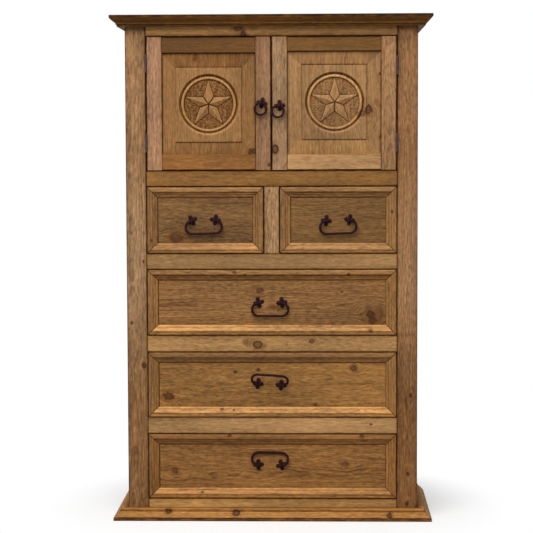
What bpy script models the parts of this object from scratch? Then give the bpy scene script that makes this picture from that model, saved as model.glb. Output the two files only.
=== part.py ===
"""Door chest in knotty pine, with two star-carved doors over two small and three wide drawers.

Units are metres and +Z is up. The origin is on the floor under the middle of the chest, whose
front faces -Y. A depth below is counted inwards from the face plane, the front of the two posts.
"""

import math

import bmesh
import bpy
from mathutils import Matrix, Vector

# Fits
SEAT_GAP = 0.0003
DRAWER_FRONT_GAP = 0.002
DRAWER_BOX_CLEARANCE = 0.002
RUNNER_CLEARANCE = 0.001
DOOR_END_GAP = 0.0028
DOOR_MEETING_GAP = 0.003
LEAF_CLEARANCE = 0.0004

# Carcass
BODY_WIDTH = 0.966
BODY_DEPTH = 0.450
FRAME_THICKNESS = 0.025
POST_WIDTH = 0.067
RAIL_SETBACK = 0.0008
SIDE_THICKNESS = 0.022
BACK_THICKNESS = 0.010
TOP_THICKNESS = 0.020
FLOOR_THICKNESS = 0.018
BOTTOM_BOARD_THICKNESS = 0.015
BOTTOM_BOARD_HEIGHT = 0.030
CENTRE_STILE_WIDTH = 0.051

# Heights of the rails and of the openings between them, from the floor up
BOTTOM_RAIL_HEIGHT = 0.0675
LOWER_OPENING = 0.220
LOWER_RAIL_HEIGHT = 0.054
MIDDLE_OPENING = 0.221
MIDDLE_RAIL_HEIGHT = 0.054
UPPER_OPENING = 0.222
UPPER_RAIL_HEIGHT = 0.051
SMALL_OPENING = 0.224
DOOR_RAIL_HEIGHT = 0.051
DOOR_OPENING = 0.4435
TOP_RAIL_HEIGHT = 0.068

# Crown and base mouldings, with heights up from the floor or down from the top
MOULDING_OVERHANG = 0.047
BASE_HEIGHT = 0.038
CROWN_HEIGHT = 0.037
FILLET_HEIGHT = 0.009
BAND_HEIGHT = 0.0075
BAND_OUT = 0.024
BAND_STEP = 0.0035
BAND_EASE = 0.001

# The moulding's sloped face from its fillet to its band, as shares of its way in and of its height
SLOPE = ((0.0, 0.0), (0.08, 0.07), (0.28, 0.30), (0.55, 0.53), (0.82, 0.72), (1.0, 0.86), (1.0, 1.0))

# Drawer runners
RUNNER_THICKNESS = 0.020
GUIDE_HEIGHT = 0.022
GLUE_DEPTH = 0.002

# Doors
DOOR_SETBACK = 0.0005
DOOR_MEMBER_WIDTH = 0.0515
PANEL_GROOVE_FRONT = 0.009
PANEL_GROOVE_WIDTH = 0.0066
PANEL_GROOVE_DEPTH = 0.008
PANEL_TONGUE = 0.0075
PANEL_BEVEL_WIDTH = 0.045
BEVEL_TOP_DEPTH = 0.0045
FIELD_DEPTH = 0.002
FIELD_STEP = 0.0008
STOP_WIDTH = 0.120
STOP_THICKNESS = 0.020
STOP_DROP = 0.018
STOP_RISE = 0.030

# Carved medallion, as radii about its centre and depths from the face plane
GROUND_RADIUS = 0.0795
BEAD_OUTER_RADIUS = 0.0905
GROOVE_RADIUS = 0.0953
GROUND_DEPTH = 0.0078
BEAD_TOP_DEPTH = 0.0026
BEAD_FOOT_DEPTH = 0.0062
MEDALLION_SIDES = 48
STAR_RADIUS = 0.0765
STAR_WAIST_RADIUS = 0.0310
STAR_PEAK_DEPTH = 0.0026
STAR_TIP_DEPTH = 0.0050
STAR_WAIST_DEPTH = 0.0068
STAR_ROOT = 0.001

# Butt hinges
HINGE_LENGTH = 0.062
LEAF_THICKNESS = 0.0011
LEAF_WIDTH = 0.018
KNUCKLE_RADIUS = 0.0031
KNUCKLE_SIDES = 12
KNUCKLE_GAP = 0.0003
PIN_RADIUS = 0.0012
PIN_CLEARANCE = 0.0003
UPPER_HINGE_DROP = {"left": 0.086, "right": 0.095}
LOWER_HINGE_RISE = {"left": 0.0895, "right": 0.0905}

# Drawer fronts, with the applied moulding as (in from the edge, up from the panel)
DRAWER_FRONT_THICKNESS = 0.018
DRAWER_PANEL_DEPTH = 0.0065
DRAWER_MOULDING = (
    (0.0, 0.0055), (0.0025, 0.0075), (0.0080, 0.0105), (0.0120, 0.0115), (0.0150, 0.0110),
    (0.0200, 0.0082), (0.0250, 0.0062), (0.0262, 0.0048), (0.0275, 0.0058), (0.0335, 0.0048),
    (0.0360, 0.0030), (0.0370, 0.0),
)

# Drawer boxes
BOX_SIDE_THICKNESS = 0.012
BOX_BACK_THICKNESS = 0.012
BOX_BOTTOM_THICKNESS = 0.006
BOX_BOTTOM_RISE = 0.010
BOX_GROOVE_DEPTH = 0.005
BOX_HEADROOM = 0.030
BOX_BACK_ROOM = 0.020

# Iron pulls
EYE_OUT = 0.012
EYE_PLAY = 0.0012
EYE_WIRE_RADIUS = 0.0016
EYE_SIDES = 14
EYE_WIRE_SIDES = 6
SHANK_RADIUS = 0.0020
SHANK_CLEARANCE = 0.0005
SHANK_PROUD = 0.003
PETAL_LENGTH = 0.0195
PETAL_SIDE_RADIUS = 0.0146
PETAL_SIDE_ANGLE = math.radians(24)
PETAL_NOTCH_RADIUS = 0.0080
PETAL_EDGE_THICKNESS = 0.0012
PETAL_RIDGE_RADIUS = 0.0120
PETAL_RIDGE_HEIGHT = 0.0032
ROSETTE_CENTRE_HEIGHT = 0.0040
ROD_SIDES = 8
BAIL_ROD_RADIUS = 0.0042
BAIL_HALF_STRAIGHT = 0.0385
BAIL_END_RADIUS = 0.0215
BAIL_END_STEPS = 9
BAIL_TAIL = 0.007
ROSETTE_SPACING = 0.0772
RING_WIRE_RADIUS = 0.0039
RING_RADIUS = 0.0192
RING_STEPS = 28

# Each door's pull: rosette's place on the door, its turn, and how far the ring hangs to one side
DOOR_PULLS = {
    "left": {"from_edge": 0.0295, "rise": 0.0015, "turn": -12, "lean": -12.5},
    "right": {"from_edge": 0.0260, "rise": -0.0070, "turn": 3, "lean": -17.0},
}

# Each drawer's pull: its place from the middle of the front, its tilt, the turns of its two
# rosettes, and how far the bail is swung up from hanging, all in degrees
DRAWER_PULLS = {
    "small_left": {"x": -0.0050, "z": -0.0005, "tilt": 1.5, "turns": (30, -10), "swing": 0},
    "small_right": {"x": -0.0012, "z": -0.0010, "tilt": 2.2, "turns": (-4, -11), "swing": 0},
    "upper": {"x": -0.0058, "z": -0.0010, "tilt": 0.0, "turns": (15, 6), "swing": 0},
    "middle": {"x": -0.0086, "z": 0.0005, "tilt": -3.9, "turns": (-8, -5), "swing": 146},
    "lower": {"x": -0.0085, "z": 0.0038, "tilt": -1.2, "turns": (0, 14), "swing": 189},
}

# Places that follow from the sizes
OPENING_HALF = BODY_WIDTH / 2 - POST_WIDTH
FACE_Y = MOULDING_OVERHANG - (BODY_DEPTH + MOULDING_OVERHANG) / 2
BACK_Y = FACE_Y + BODY_DEPTH
FRAME_BACK_Y = FACE_Y + FRAME_THICKNESS
BACK_PANEL_Y = BACK_Y - BACK_THICKNESS
SIDE_INNER = BODY_WIDTH / 2 - SIDE_THICKNESS

LOWER_SILL = BOTTOM_RAIL_HEIGHT
LOWER_HEAD = LOWER_SILL + LOWER_OPENING
MIDDLE_SILL = LOWER_HEAD + LOWER_RAIL_HEIGHT
MIDDLE_HEAD = MIDDLE_SILL + MIDDLE_OPENING
UPPER_SILL = MIDDLE_HEAD + MIDDLE_RAIL_HEIGHT
UPPER_HEAD = UPPER_SILL + UPPER_OPENING
SMALL_SILL = UPPER_HEAD + UPPER_RAIL_HEIGHT
SMALL_HEAD = SMALL_SILL + SMALL_OPENING
DOOR_SILL = SMALL_HEAD + DOOR_RAIL_HEIGHT
DOOR_HEAD = DOOR_SILL + DOOR_OPENING
HEIGHT = DOOR_HEAD + TOP_RAIL_HEIGHT
TOP_BOARD_Z = HEIGHT - TOP_THICKNESS

# The two hinge leaves, their seats and the play between them fill the gap beside a door.
DOOR_SIDE_GAP = 2 * (LEAF_THICKNESS + SEAT_GAP) + LEAF_CLEARANCE
HINGE_X = OPENING_HALF - DOOR_SIDE_GAP / 2
HINGE_OUT = KNUCKLE_RADIUS + LEAF_CLEARANCE

# A pull rests on the lower edge of its eye's hole, seen from where the shank enters the wood.
HANG_POINT = Vector((0, -EYE_OUT, SEAT_GAP - EYE_PLAY))

DRAWER_BOX_Y = FACE_Y + DRAWER_PANEL_DEPTH + DRAWER_FRONT_THICKNESS + SEAT_GAP
BOX_LENGTH = BACK_PANEL_Y - BOX_BACK_ROOM - DRAWER_BOX_Y


def clear_scene():
    for obj in list(bpy.data.objects):
        bpy.data.objects.remove(obj, do_unlink=True)


def material(name, colour, roughness, metallic=0.0):
    """A Principled material of one colour."""
    made = bpy.data.materials.new(name)
    made.use_nodes = True
    shader = made.node_tree.nodes["Principled BSDF"]
    shader.inputs["Base Color"].default_value = (*colour, 1)
    shader.inputs["Roughness"].default_value = roughness
    shader.inputs["Metallic"].default_value = metallic
    return made


def finished(bm, name):
    """The mesh of a bmesh, with its faces turned outwards."""
    bmesh.ops.recalc_face_normals(bm, faces=bm.faces)
    mesh = bpy.data.meshes.new(name)
    bm.to_mesh(mesh)
    bm.free()
    return mesh


def empty(name, location):
    """A point that the pieces of one moving body are parented to."""
    made = bpy.data.objects.new(name, None)
    bpy.context.collection.objects.link(made)
    made.location = location
    return made


def add(name, mesh, finish, location=(0, 0, 0), parent=None, turn=None):
    """Puts a mesh into the scene at a world place, turned by a matrix, and parented without moving."""
    made = bpy.data.objects.new(name, mesh)
    bpy.context.collection.objects.link(made)
    if not mesh.materials:
        mesh.materials.append(finish)
    made.location = Vector(location) - (parent.location if parent else Vector())
    made.parent = parent
    if turn:
        made.rotation_euler = turn.to_euler()
    return made


def block(x, y, z):
    """A box between two values on each axis."""
    bm = bmesh.new()
    middle = Vector((sum(x) / 2, sum(y) / 2, sum(z) / 2))
    size = Vector((x[1] - x[0], y[1] - y[0], z[1] - z[0]))
    bmesh.ops.create_cube(bm, size=1, matrix=Matrix.Translation(middle) @ Matrix.Diagonal((*size, 1)))
    return finished(bm, "block")


def board(name, finish, x, y, z, parent=None):
    """A board between two values on each axis, with its origin at its middle."""
    middle = (sum(x) / 2, sum(y) / 2, sum(z) / 2)
    spans = [(low - mid, high - mid) for (low, high), mid in zip((x, y, z), middle)]
    return add(name, block(*spans), finish, middle, parent)


def rod(radius, start, end, sides):
    """A straight round rod between two points."""
    bm = bmesh.new()
    start = Vector(start)
    along = Vector(end) - start
    place = Matrix.Translation(start + along / 2) @ along.to_track_quat("Z", "Y").to_matrix().to_4x4()
    bmesh.ops.create_cone(
        bm, cap_ends=True, segments=sides, radius1=radius, radius2=radius, depth=along.length, matrix=place
    )
    return finished(bm, "rod")


def joined(shapes, cutters=()):
    """One mesh: the first shape with the others joined to it and the cutters taken out."""
    helpers = []
    for mesh in (*shapes, *cutters):
        helper = bpy.data.objects.new("helper", mesh)
        helper.hide_render = True
        helper.display_type = "WIRE"
        bpy.context.collection.objects.link(helper)
        helpers.append(helper)
    for number, other in enumerate(helpers[1:], start=1):
        change = helpers[0].modifiers.new(f"join {number}", "BOOLEAN")
        change.object = other
        change.operation = "UNION" if number < len(shapes) else "DIFFERENCE"
    bpy.context.view_layer.update()
    graph = bpy.context.evaluated_depsgraph_get()
    result = bpy.data.meshes.new_from_object(helpers[0].evaluated_get(graph))
    for helper in helpers:
        bpy.data.objects.remove(helper, do_unlink=True)
    return result


def rectangle_loft(width, height, profile, open_middle=False):
    """Rectangles in XZ, one for each (inset, depth) of the profile, joined each to the next.

    With an open middle the last is joined to the first, which makes a frame. Otherwise the first
    and the last are filled, which makes a board.
    """
    bm = bmesh.new()
    loops = []
    for inset, depth in profile:
        across, up = width / 2 - inset, height / 2 - inset
        corners = ((-across, -up), (across, -up), (across, up), (-across, up))
        loops.append([bm.verts.new((x, depth, z)) for x, z in corners])
    following = loops[1:] + ([loops[0]] if open_middle else [])
    for loop, other in zip(loops, following):
        for i in range(4):
            j = (i + 1) % 4
            bm.faces.new((loop[i], loop[j], other[j], other[i]))
    if not open_middle:
        bm.faces.new(loops[0])
        bm.faces.new(loops[-1])
    return finished(bm, "loft")


def wrapped_moulding(profile, floor_z, upwards):
    """A moulding carried round the front and both sides of the body, mitred at the two corners.

    The profile is (out from the body, height), counted from floor_z up, or down if upwards is -1.
    """
    bm = bmesh.new()
    loops = []
    for out, height in profile:
        x, y, z = BODY_WIDTH / 2 + out, FACE_Y - out, floor_z + upwards * height
        loops.append([bm.verts.new(p) for p in ((-x, BACK_Y, z), (-x, y, z), (x, y, z), (x, BACK_Y, z))])
    for loop, other in zip(loops, loops[1:] + loops[:1]):
        for i in range(3):
            bm.faces.new((loop[i], loop[i + 1], other[i + 1], other[i]))
    bm.faces.new([loop[0] for loop in loops])
    bm.faces.new([loop[-1] for loop in loops])
    return finished(bm, "moulding")


def turned(profile, sides):
    """A solid of revolution about Y through (radius, depth) points that start and end on the axis."""
    bm = bmesh.new()
    first = bm.verts.new((0, profile[0][1], 0))
    last = bm.verts.new((0, profile[-1][1], 0))
    rings = []
    for radius, depth in profile[1:-1]:
        angles = [2 * math.pi * i / sides for i in range(sides)]
        rings.append([bm.verts.new((radius * math.cos(a), depth, radius * math.sin(a))) for a in angles])
    for i in range(sides):
        j = (i + 1) % sides
        bm.faces.new((first, rings[0][i], rings[0][j]))
        bm.faces.new((last, rings[-1][j], rings[-1][i]))
        for ring, other in zip(rings, rings[1:]):
            bm.faces.new((ring[i], ring[j], other[j], other[i]))
    return finished(bm, "turned")


def tube(path, radius, sides, closed=False):
    """A round bar along a flat path in XZ, given as (x, z) points."""
    bm = bmesh.new()
    rings = []
    count = len(path)
    for i, (x, z) in enumerate(path):
        before = path[i - 1] if closed or i > 0 else path[i]
        after = path[(i + 1) % count] if closed or i < count - 1 else path[i]
        along = Vector((after[0] - before[0], 0, after[1] - before[1])).normalized()
        across = along.cross(Vector((0, 1, 0)))
        ring = []
        for k in range(sides):
            angle = 2 * math.pi * k / sides
            spoke = across * math.cos(angle) + Vector((0, math.sin(angle), 0))
            ring.append(bm.verts.new(Vector((x, 0, z)) + radius * spoke))
        rings.append(ring)
    following = rings[1:] + ([rings[0]] if closed else [])
    for ring, other in zip(rings, following):
        for k in range(sides):
            j = (k + 1) % sides
            bm.faces.new((ring[k], ring[j], other[j], other[k]))
    if not closed:
        bm.faces.new(rings[0])
        bm.faces.new(rings[-1])
    mesh = finished(bm, "tube")
    mesh.shade_smooth()
    mesh.set_sharp_from_angle(angle=math.radians(50))
    return mesh


def arc(centre, radius, start, end, steps):
    """Points on an arc in XZ, with its angles in degrees from +X towards +Z."""
    angles = [math.radians(start + (end - start) * i / steps) for i in range(steps + 1)]
    return [(centre[0] + radius * math.cos(a), centre[1] + radius * math.sin(a)) for a in angles]


def closed_ring(radius, bar_radius, steps, sides):
    """A round bar bent into a ring in XZ about the origin."""
    return tube(arc((0, 0), radius, 0, 360, steps)[:-1], bar_radius, sides, closed=True)


def moulding_profile(height):
    """The section that the crown and the base share: a fillet, a sloped face, a step and a band."""
    across = MOULDING_OVERHANG - BAND_OUT - BAND_STEP
    up = height - FILLET_HEIGHT - BAND_HEIGHT
    return [
        (SEAT_GAP, 0.0),
        (MOULDING_OVERHANG, 0.0),
        *((MOULDING_OVERHANG - a * across, FILLET_HEIGHT + b * up) for a, b in SLOPE),
        (BAND_OUT + BAND_EASE, height - BAND_HEIGHT + BAND_EASE),
        (BAND_OUT, height),
        (SEAT_GAP, height),
    ]


def make_frame(pine, crown_pine):
    """Posts, rails, centre stile and the two mouldings."""
    depth = (FACE_Y, FRAME_BACK_Y)
    rail_depth = (FACE_Y + RAIL_SETBACK, FRAME_BACK_Y)
    span = (-OPENING_HALF + SEAT_GAP, OPENING_HALF - SEAT_GAP)
    board("post_left", pine, (-BODY_WIDTH / 2, -OPENING_HALF), depth, (0, HEIGHT))
    board("post_right", pine, (OPENING_HALF, BODY_WIDTH / 2), depth, (0, HEIGHT))
    rails = {
        "bottom_rail": (0, LOWER_SILL),
        "lower_drawer_rail": (LOWER_HEAD, MIDDLE_SILL),
        "middle_drawer_rail": (MIDDLE_HEAD, UPPER_SILL),
        "upper_drawer_rail": (UPPER_HEAD, SMALL_SILL),
        "door_rail": (SMALL_HEAD, DOOR_SILL),
        "top_rail": (DOOR_HEAD, HEIGHT),
    }
    for name, height in rails.items():
        board(name, pine, span, rail_depth, height)
    half = CENTRE_STILE_WIDTH / 2
    board("centre_stile", pine, (-half, half), rail_depth, (SMALL_SILL + SEAT_GAP, SMALL_HEAD - SEAT_GAP))
    add("crown_moulding", wrapped_moulding(moulding_profile(CROWN_HEIGHT), HEIGHT, -1), crown_pine)
    add("base_moulding", wrapped_moulding(moulding_profile(BASE_HEIGHT), 0, 1), pine)


def runner_blocks(guide_from, guide_to, ledge_from, ledge_to, sill):
    """A ledge that a drawer side slides on and the guide that stands on it, as two blocks."""
    depth = (FRAME_BACK_Y + SEAT_GAP, BACK_PANEL_Y - SEAT_GAP)
    ledge = block((ledge_from, ledge_to), depth, (sill - RUNNER_THICKNESS, sill))
    guide = block((guide_from, guide_to), depth, (sill - GLUE_DEPTH, sill + GUIDE_HEIGHT))
    return [ledge, guide]


def make_sides(pine):
    """Each side board with the runners glued to it, one under each drawer row."""
    guide_x = OPENING_HALF - DRAWER_BOX_CLEARANCE + RUNNER_CLEARANCE
    ledge_x = OPENING_HALF - DRAWER_BOX_CLEARANCE - BOX_SIDE_THICKNESS
    glued_x = SIDE_INNER + GLUE_DEPTH
    depth = (FRAME_BACK_Y + SEAT_GAP, BACK_Y)
    for name, side in (("side_left", -1), ("side_right", 1)):
        edges = sorted((side * SIDE_INNER, side * BODY_WIDTH / 2))
        shapes = [block(edges, depth, (0, TOP_BOARD_Z - SEAT_GAP))]
        for sill in (LOWER_SILL, MIDDLE_SILL, UPPER_SILL, SMALL_SILL):
            guide = sorted((side * guide_x, side * glued_x))
            ledge = sorted((side * ledge_x, side * glued_x))
            shapes += runner_blocks(*guide, *ledge, sill)
        add(name, joined(shapes), pine)


def make_inner_boards(pine):
    """Back, top, bottom, cabinet floor, the runner behind the centre stile and the door stop."""
    inside = (-SIDE_INNER + SEAT_GAP, SIDE_INNER - SEAT_GAP)
    depth = (FRAME_BACK_Y + SEAT_GAP, BACK_PANEL_Y - SEAT_GAP)
    under_top = TOP_BOARD_Z - SEAT_GAP
    board("back_panel", pine, inside, (BACK_PANEL_Y, BACK_Y), (BOTTOM_BOARD_HEIGHT, under_top))
    across = (-BODY_WIDTH / 2, BODY_WIDTH / 2)
    board("top_board", pine, across, (FRAME_BACK_Y + SEAT_GAP, BACK_Y), (TOP_BOARD_Z, HEIGHT))
    bottom = (BOTTOM_BOARD_HEIGHT, BOTTOM_BOARD_HEIGHT + BOTTOM_BOARD_THICKNESS)
    board("bottom_board", pine, inside, depth, bottom)
    board("cabinet_floor", pine, inside, depth, (DOOR_SILL - FLOOR_THICKNESS, DOOR_SILL))
    guide = CENTRE_STILE_WIDTH / 2 + DRAWER_BOX_CLEARANCE - RUNNER_CLEARANCE
    ledge = CENTRE_STILE_WIDTH / 2 + DRAWER_BOX_CLEARANCE + BOX_SIDE_THICKNESS
    add("centre_runner", joined(runner_blocks(-guide, guide, -ledge, ledge, SMALL_SILL)), pine)
    stop_depth = (FRAME_BACK_Y + SEAT_GAP, FRAME_BACK_Y + SEAT_GAP + STOP_THICKNESS)
    stop_height = (DOOR_HEAD - STOP_DROP, DOOR_HEAD + STOP_RISE)
    board("door_stop", pine, (-STOP_WIDTH / 2, STOP_WIDTH / 2), stop_depth, stop_height)


def star():
    """A five-point star, one point up, whose ten facets rise from its edges to ridges and a peak."""
    bm = bmesh.new()
    under, over = [], []
    for i in range(10):
        angle = math.radians(90 + 36 * i)
        radius, depth = (STAR_RADIUS, STAR_TIP_DEPTH) if i % 2 == 0 else (STAR_WAIST_RADIUS, STAR_WAIST_DEPTH)
        x, z = radius * math.cos(angle), radius * math.sin(angle)
        under.append(bm.verts.new((x, GROUND_DEPTH + STAR_ROOT, z)))
        over.append(bm.verts.new((x, depth, z)))
    peak = bm.verts.new((0, STAR_PEAK_DEPTH, 0))
    for i in range(10):
        j = (i + 1) % 10
        bm.faces.new((under[i], under[j], over[j], over[i]))
        bm.faces.new((over[i], over[j], peak))
    bm.faces.new(under)
    return finished(bm, "star")


def medallion_cutter():
    """What the carver takes out: the sunken ground, the hollows beside the bead and the outer groove."""
    bead_middle = (GROUND_RADIUS + BEAD_OUTER_RADIUS) / 2
    bead_shoulder = 0.35 * (BEAD_OUTER_RADIUS - GROUND_RADIUS)
    shoulder_depth = BEAD_TOP_DEPTH + 0.3 * (BEAD_FOOT_DEPTH - BEAD_TOP_DEPTH)
    groove_middle = (BEAD_OUTER_RADIUS + GROOVE_RADIUS) / 2
    above = FIELD_DEPTH - 0.005
    return turned(
        [
            (0, GROUND_DEPTH),
            (GROUND_RADIUS, GROUND_DEPTH),
            (GROUND_RADIUS, BEAD_FOOT_DEPTH),
            (bead_middle - bead_shoulder, shoulder_depth),
            (bead_middle, BEAD_TOP_DEPTH),
            (bead_middle + bead_shoulder, shoulder_depth),
            (BEAD_OUTER_RADIUS, BEAD_FOOT_DEPTH),
            (groove_middle, BEAD_FOOT_DEPTH),
            (GROOVE_RADIUS, FIELD_DEPTH),
            (GROOVE_RADIUS, above),
            (0, above),
        ],
        MEDALLION_SIDES,
    )


def door_panel(width, height):
    """A raised panel for an opening, with a tongue round it and the medallion carved in its field."""
    back = PANEL_GROOVE_FRONT + PANEL_GROOVE_WIDTH - SEAT_GAP
    front = PANEL_GROOVE_FRONT + SEAT_GAP
    panel = rectangle_loft(
        width,
        height,
        [
            (-PANEL_TONGUE, back),
            (-PANEL_TONGUE, front),
            (SEAT_GAP, front),
            (PANEL_BEVEL_WIDTH, BEVEL_TOP_DEPTH),
            (PANEL_BEVEL_WIDTH + FIELD_STEP, FIELD_DEPTH),
        ],
    )
    return joined([joined([panel], [medallion_cutter()]), star()])


def door_frame(width, height, shank_x, shank_z):
    """Two stiles and two rails glued up, with a groove for the panel and a hole for the pull's shank."""
    member = DOOR_MEMBER_WIDTH
    groove_back = PANEL_GROOVE_FRONT + PANEL_GROOVE_WIDTH
    frame = rectangle_loft(
        width,
        height,
        [
            (0, DOOR_SETBACK),
            (member, DOOR_SETBACK),
            (member, PANEL_GROOVE_FRONT),
            (member - PANEL_GROOVE_DEPTH, PANEL_GROOVE_FRONT),
            (member - PANEL_GROOVE_DEPTH, groove_back),
            (member, groove_back),
            (member, FRAME_THICKNESS),
            (0, FRAME_THICKNESS),
        ],
        open_middle=True,
    )
    return joined([frame], [shank_bore(shank_x, shank_z, FRAME_THICKNESS)])


def shank_bore(x, z, depth):
    """The hole that an eye's shank passes through, as a cutter longer than the wood is thick."""
    radius = SHANK_RADIUS + SHANK_CLEARANCE
    return rod(radius, (x, -0.01, z), (x, depth + 0.01, z), ROD_SIDES)


def face_turn(degrees):
    """A turn on the face of the wood, counterclockwise to someone in front of it."""
    return Matrix.Rotation(-math.radians(degrees), 4, "Y")


def rosette(wood_thickness, petal_turn, eye_turn, pull_radius):
    """A four-petal iron rosette with its eye in front and its shank through the wood behind.

    Its back lies in XZ at y = 0 and it faces -Y. Each petal is pointed and ridged down its middle.
    The eye is turned as the pull that hangs in it, and the plate behind as it happens to sit.
    """
    bm = bmesh.new()
    outline = []
    for petal in range(4):
        middle = math.pi / 2 * petal + math.pi / 2
        outline += [
            (middle - math.pi / 4, PETAL_NOTCH_RADIUS),
            (middle - PETAL_SIDE_ANGLE, PETAL_SIDE_RADIUS),
            (middle, PETAL_LENGTH),
            (middle + PETAL_SIDE_ANGLE, PETAL_SIDE_RADIUS),
        ]
    flat = [(radius * math.cos(angle), radius * math.sin(angle)) for angle, radius in outline]
    under = [bm.verts.new((x, 0, z)) for x, z in flat]
    edge = [bm.verts.new((x, -PETAL_EDGE_THICKNESS, z)) for x, z in flat]
    centre = bm.verts.new((0, -ROSETTE_CENTRE_HEIGHT, 0))
    count = len(flat)
    for i in range(count):
        j = (i + 1) % count
        bm.faces.new((under[i], under[j], edge[j], edge[i]))
    for petal in range(4):
        angle = math.pi / 2 * petal + math.pi / 2
        x, z = PETAL_RIDGE_RADIUS * math.cos(angle), PETAL_RIDGE_RADIUS * math.sin(angle)
        ridge = bm.verts.new((x, -PETAL_RIDGE_HEIGHT, z))
        notch, side, tip, other_side = edge[4 * petal : 4 * petal + 4]
        next_notch = edge[(4 * petal + 4) % count]
        for corners in (
            (centre, notch, ridge), (notch, side, ridge), (side, tip, ridge),
            (tip, other_side, ridge), (other_side, next_notch, ridge), (next_notch, centre, ridge),
        ):
            bm.faces.new(corners)
    bm.faces.new(under)
    plate = finished(bm, "plate")
    plate.transform(face_turn(petal_turn))
    hole_edge = pull_radius + EYE_PLAY + EYE_WIRE_RADIUS
    eye = closed_ring(hole_edge / math.cos(math.pi / EYE_SIDES), EYE_WIRE_RADIUS, EYE_SIDES, EYE_WIRE_SIDES)
    upright = Matrix.Translation((0, -EYE_OUT, 0)) @ Matrix.Rotation(math.pi / 2, 4, "Z")
    eye.transform(face_turn(eye_turn) @ upright)
    neck_end = EYE_OUT - hole_edge
    shank = rod(SHANK_RADIUS, (0, -neck_end, 0), (0, wood_thickness + SHANK_PROUD, 0), ROD_SIDES)
    return joined([plate, eye, shank])


def make_hinge(name, side, z, steel, door_empty):
    """A butt hinge: a post leaf with the outer knuckles and the pin, and a door leaf between them.

    side is -1 on the left and 1 on the right, and the post lies that way from the hinge's axis.
    """
    axis = Vector((side * HINGE_X, FACE_Y - HINGE_OUT, z))
    half, third = HINGE_LENGTH / 2, HINGE_LENGTH / 6
    plate_y = (HINGE_OUT + SEAT_GAP, HINGE_OUT + LEAF_WIDTH)
    tab_y = (0, HINGE_OUT + 2 * SEAT_GAP)
    inner, outer = LEAF_CLEARANCE / 2, LEAF_CLEARANCE / 2 + LEAF_THICKNESS
    short = half - SEAT_GAP

    post_x = sorted((side * inner, side * outer))
    shapes = [block(post_x, plate_y, (-short, short))]
    for low, high in ((-half, -third - KNUCKLE_GAP / 2), (third + KNUCKLE_GAP / 2, half)):
        shapes.append(rod(KNUCKLE_RADIUS, (0, 0, low), (0, 0, high), KNUCKLE_SIDES))
        shapes.append(block(post_x, tab_y, (low + SEAT_GAP, high - SEAT_GAP)))
    shapes.append(rod(PIN_RADIUS, (0, 0, -short), (0, 0, short), KNUCKLE_SIDES))
    add(f"{name}_post_leaf", joined(shapes), steel, axis)

    door_x = sorted((-side * inner, -side * outer))
    middle = third - KNUCKLE_GAP / 2
    shapes = [
        block(door_x, plate_y, (-short, short)),
        rod(KNUCKLE_RADIUS, (0, 0, -middle), (0, 0, middle), KNUCKLE_SIDES),
        block(door_x, tab_y, (-middle + SEAT_GAP, middle - SEAT_GAP)),
    ]
    bore = rod(PIN_RADIUS + PIN_CLEARANCE, (0, 0, -half), (0, 0, half), KNUCKLE_SIDES)
    add(f"{name}_door_leaf", joined(shapes, [bore]), steel, axis, door_empty)


def make_door(name, side, door_pine, panel_pine, iron, steel):
    """One door with its panel, two hinges and ring pull, all on an empty at the hinge axis."""
    inner_x, outer_x = DOOR_MEETING_GAP / 2, OPENING_HALF - DOOR_SIDE_GAP
    width = outer_x - inner_x
    height = DOOR_OPENING - 2 * DOOR_END_GAP
    middle = Vector((side * (inner_x + outer_x) / 2, FACE_Y, (DOOR_SILL + DOOR_HEAD) / 2))
    hinge = empty(f"{name}_door_hinge", (side * HINGE_X, FACE_Y - HINGE_OUT, middle.z))

    pull = DOOR_PULLS[name]
    pull_x = side * (inner_x + pull["from_edge"]) - middle.x
    frame = door_frame(width, height, pull_x, pull["rise"])
    add(f"{name}_door_frame", frame, door_pine, middle, hinge)
    panel = door_panel(width - 2 * DOOR_MEMBER_WIDTH, height - 2 * DOOR_MEMBER_WIDTH)
    add(f"{name}_door_panel", panel, panel_pine, middle, hinge)

    seat = middle + Vector((pull_x, DOOR_SETBACK - SEAT_GAP, pull["rise"]))
    thickness = FRAME_THICKNESS - DOOR_SETBACK + SEAT_GAP
    plate = rosette(thickness, pull["turn"], pull["lean"], RING_WIRE_RADIUS)
    add(f"{name}_door_rosette", plate, iron, seat, hinge)
    pivot = empty(f"{name}_ring_pivot", seat + face_turn(pull["lean"]) @ HANG_POINT)
    ring = closed_ring(RING_RADIUS, RING_WIRE_RADIUS, RING_STEPS, ROD_SIDES)
    ring.transform(Matrix.Translation((0, 0, -RING_RADIUS)))
    add(f"{name}_door_ring", ring, iron, pivot.location, pivot, face_turn(pull["lean"]))

    head, sill = middle.z + height / 2, middle.z - height / 2
    make_hinge(f"{name}_upper_hinge", side, head - UPPER_HINGE_DROP[name], steel, hinge)
    make_hinge(f"{name}_lower_hinge", side, sill + LOWER_HINGE_RISE[name], steel, hinge)


def drawer_box(width, height):
    """Two sides and a back, with the bottom let into grooves in them, open to the drawer's front."""
    half = width / 2
    inner = half - BOX_SIDE_THICKNESS
    back = (BOX_LENGTH - BOX_BACK_THICKNESS, BOX_LENGTH)
    bottom = (BOX_BOTTOM_RISE, BOX_BOTTOM_RISE + BOX_BOTTOM_THICKNESS)
    shapes = [
        block((-half, -inner), (0, BOX_LENGTH), (0, height)),
        block((-inner - GLUE_DEPTH, inner + GLUE_DEPTH), back, (GLUE_DEPTH, height - GLUE_DEPTH)),
        block((inner, half), (0, BOX_LENGTH), (0, height)),
        block(
            (-inner - BOX_GROOVE_DEPTH, inner + BOX_GROOVE_DEPTH),
            (GLUE_DEPTH, back[0] + BOX_GROOVE_DEPTH),
            bottom,
        ),
    ]
    return joined(shapes)


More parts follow.
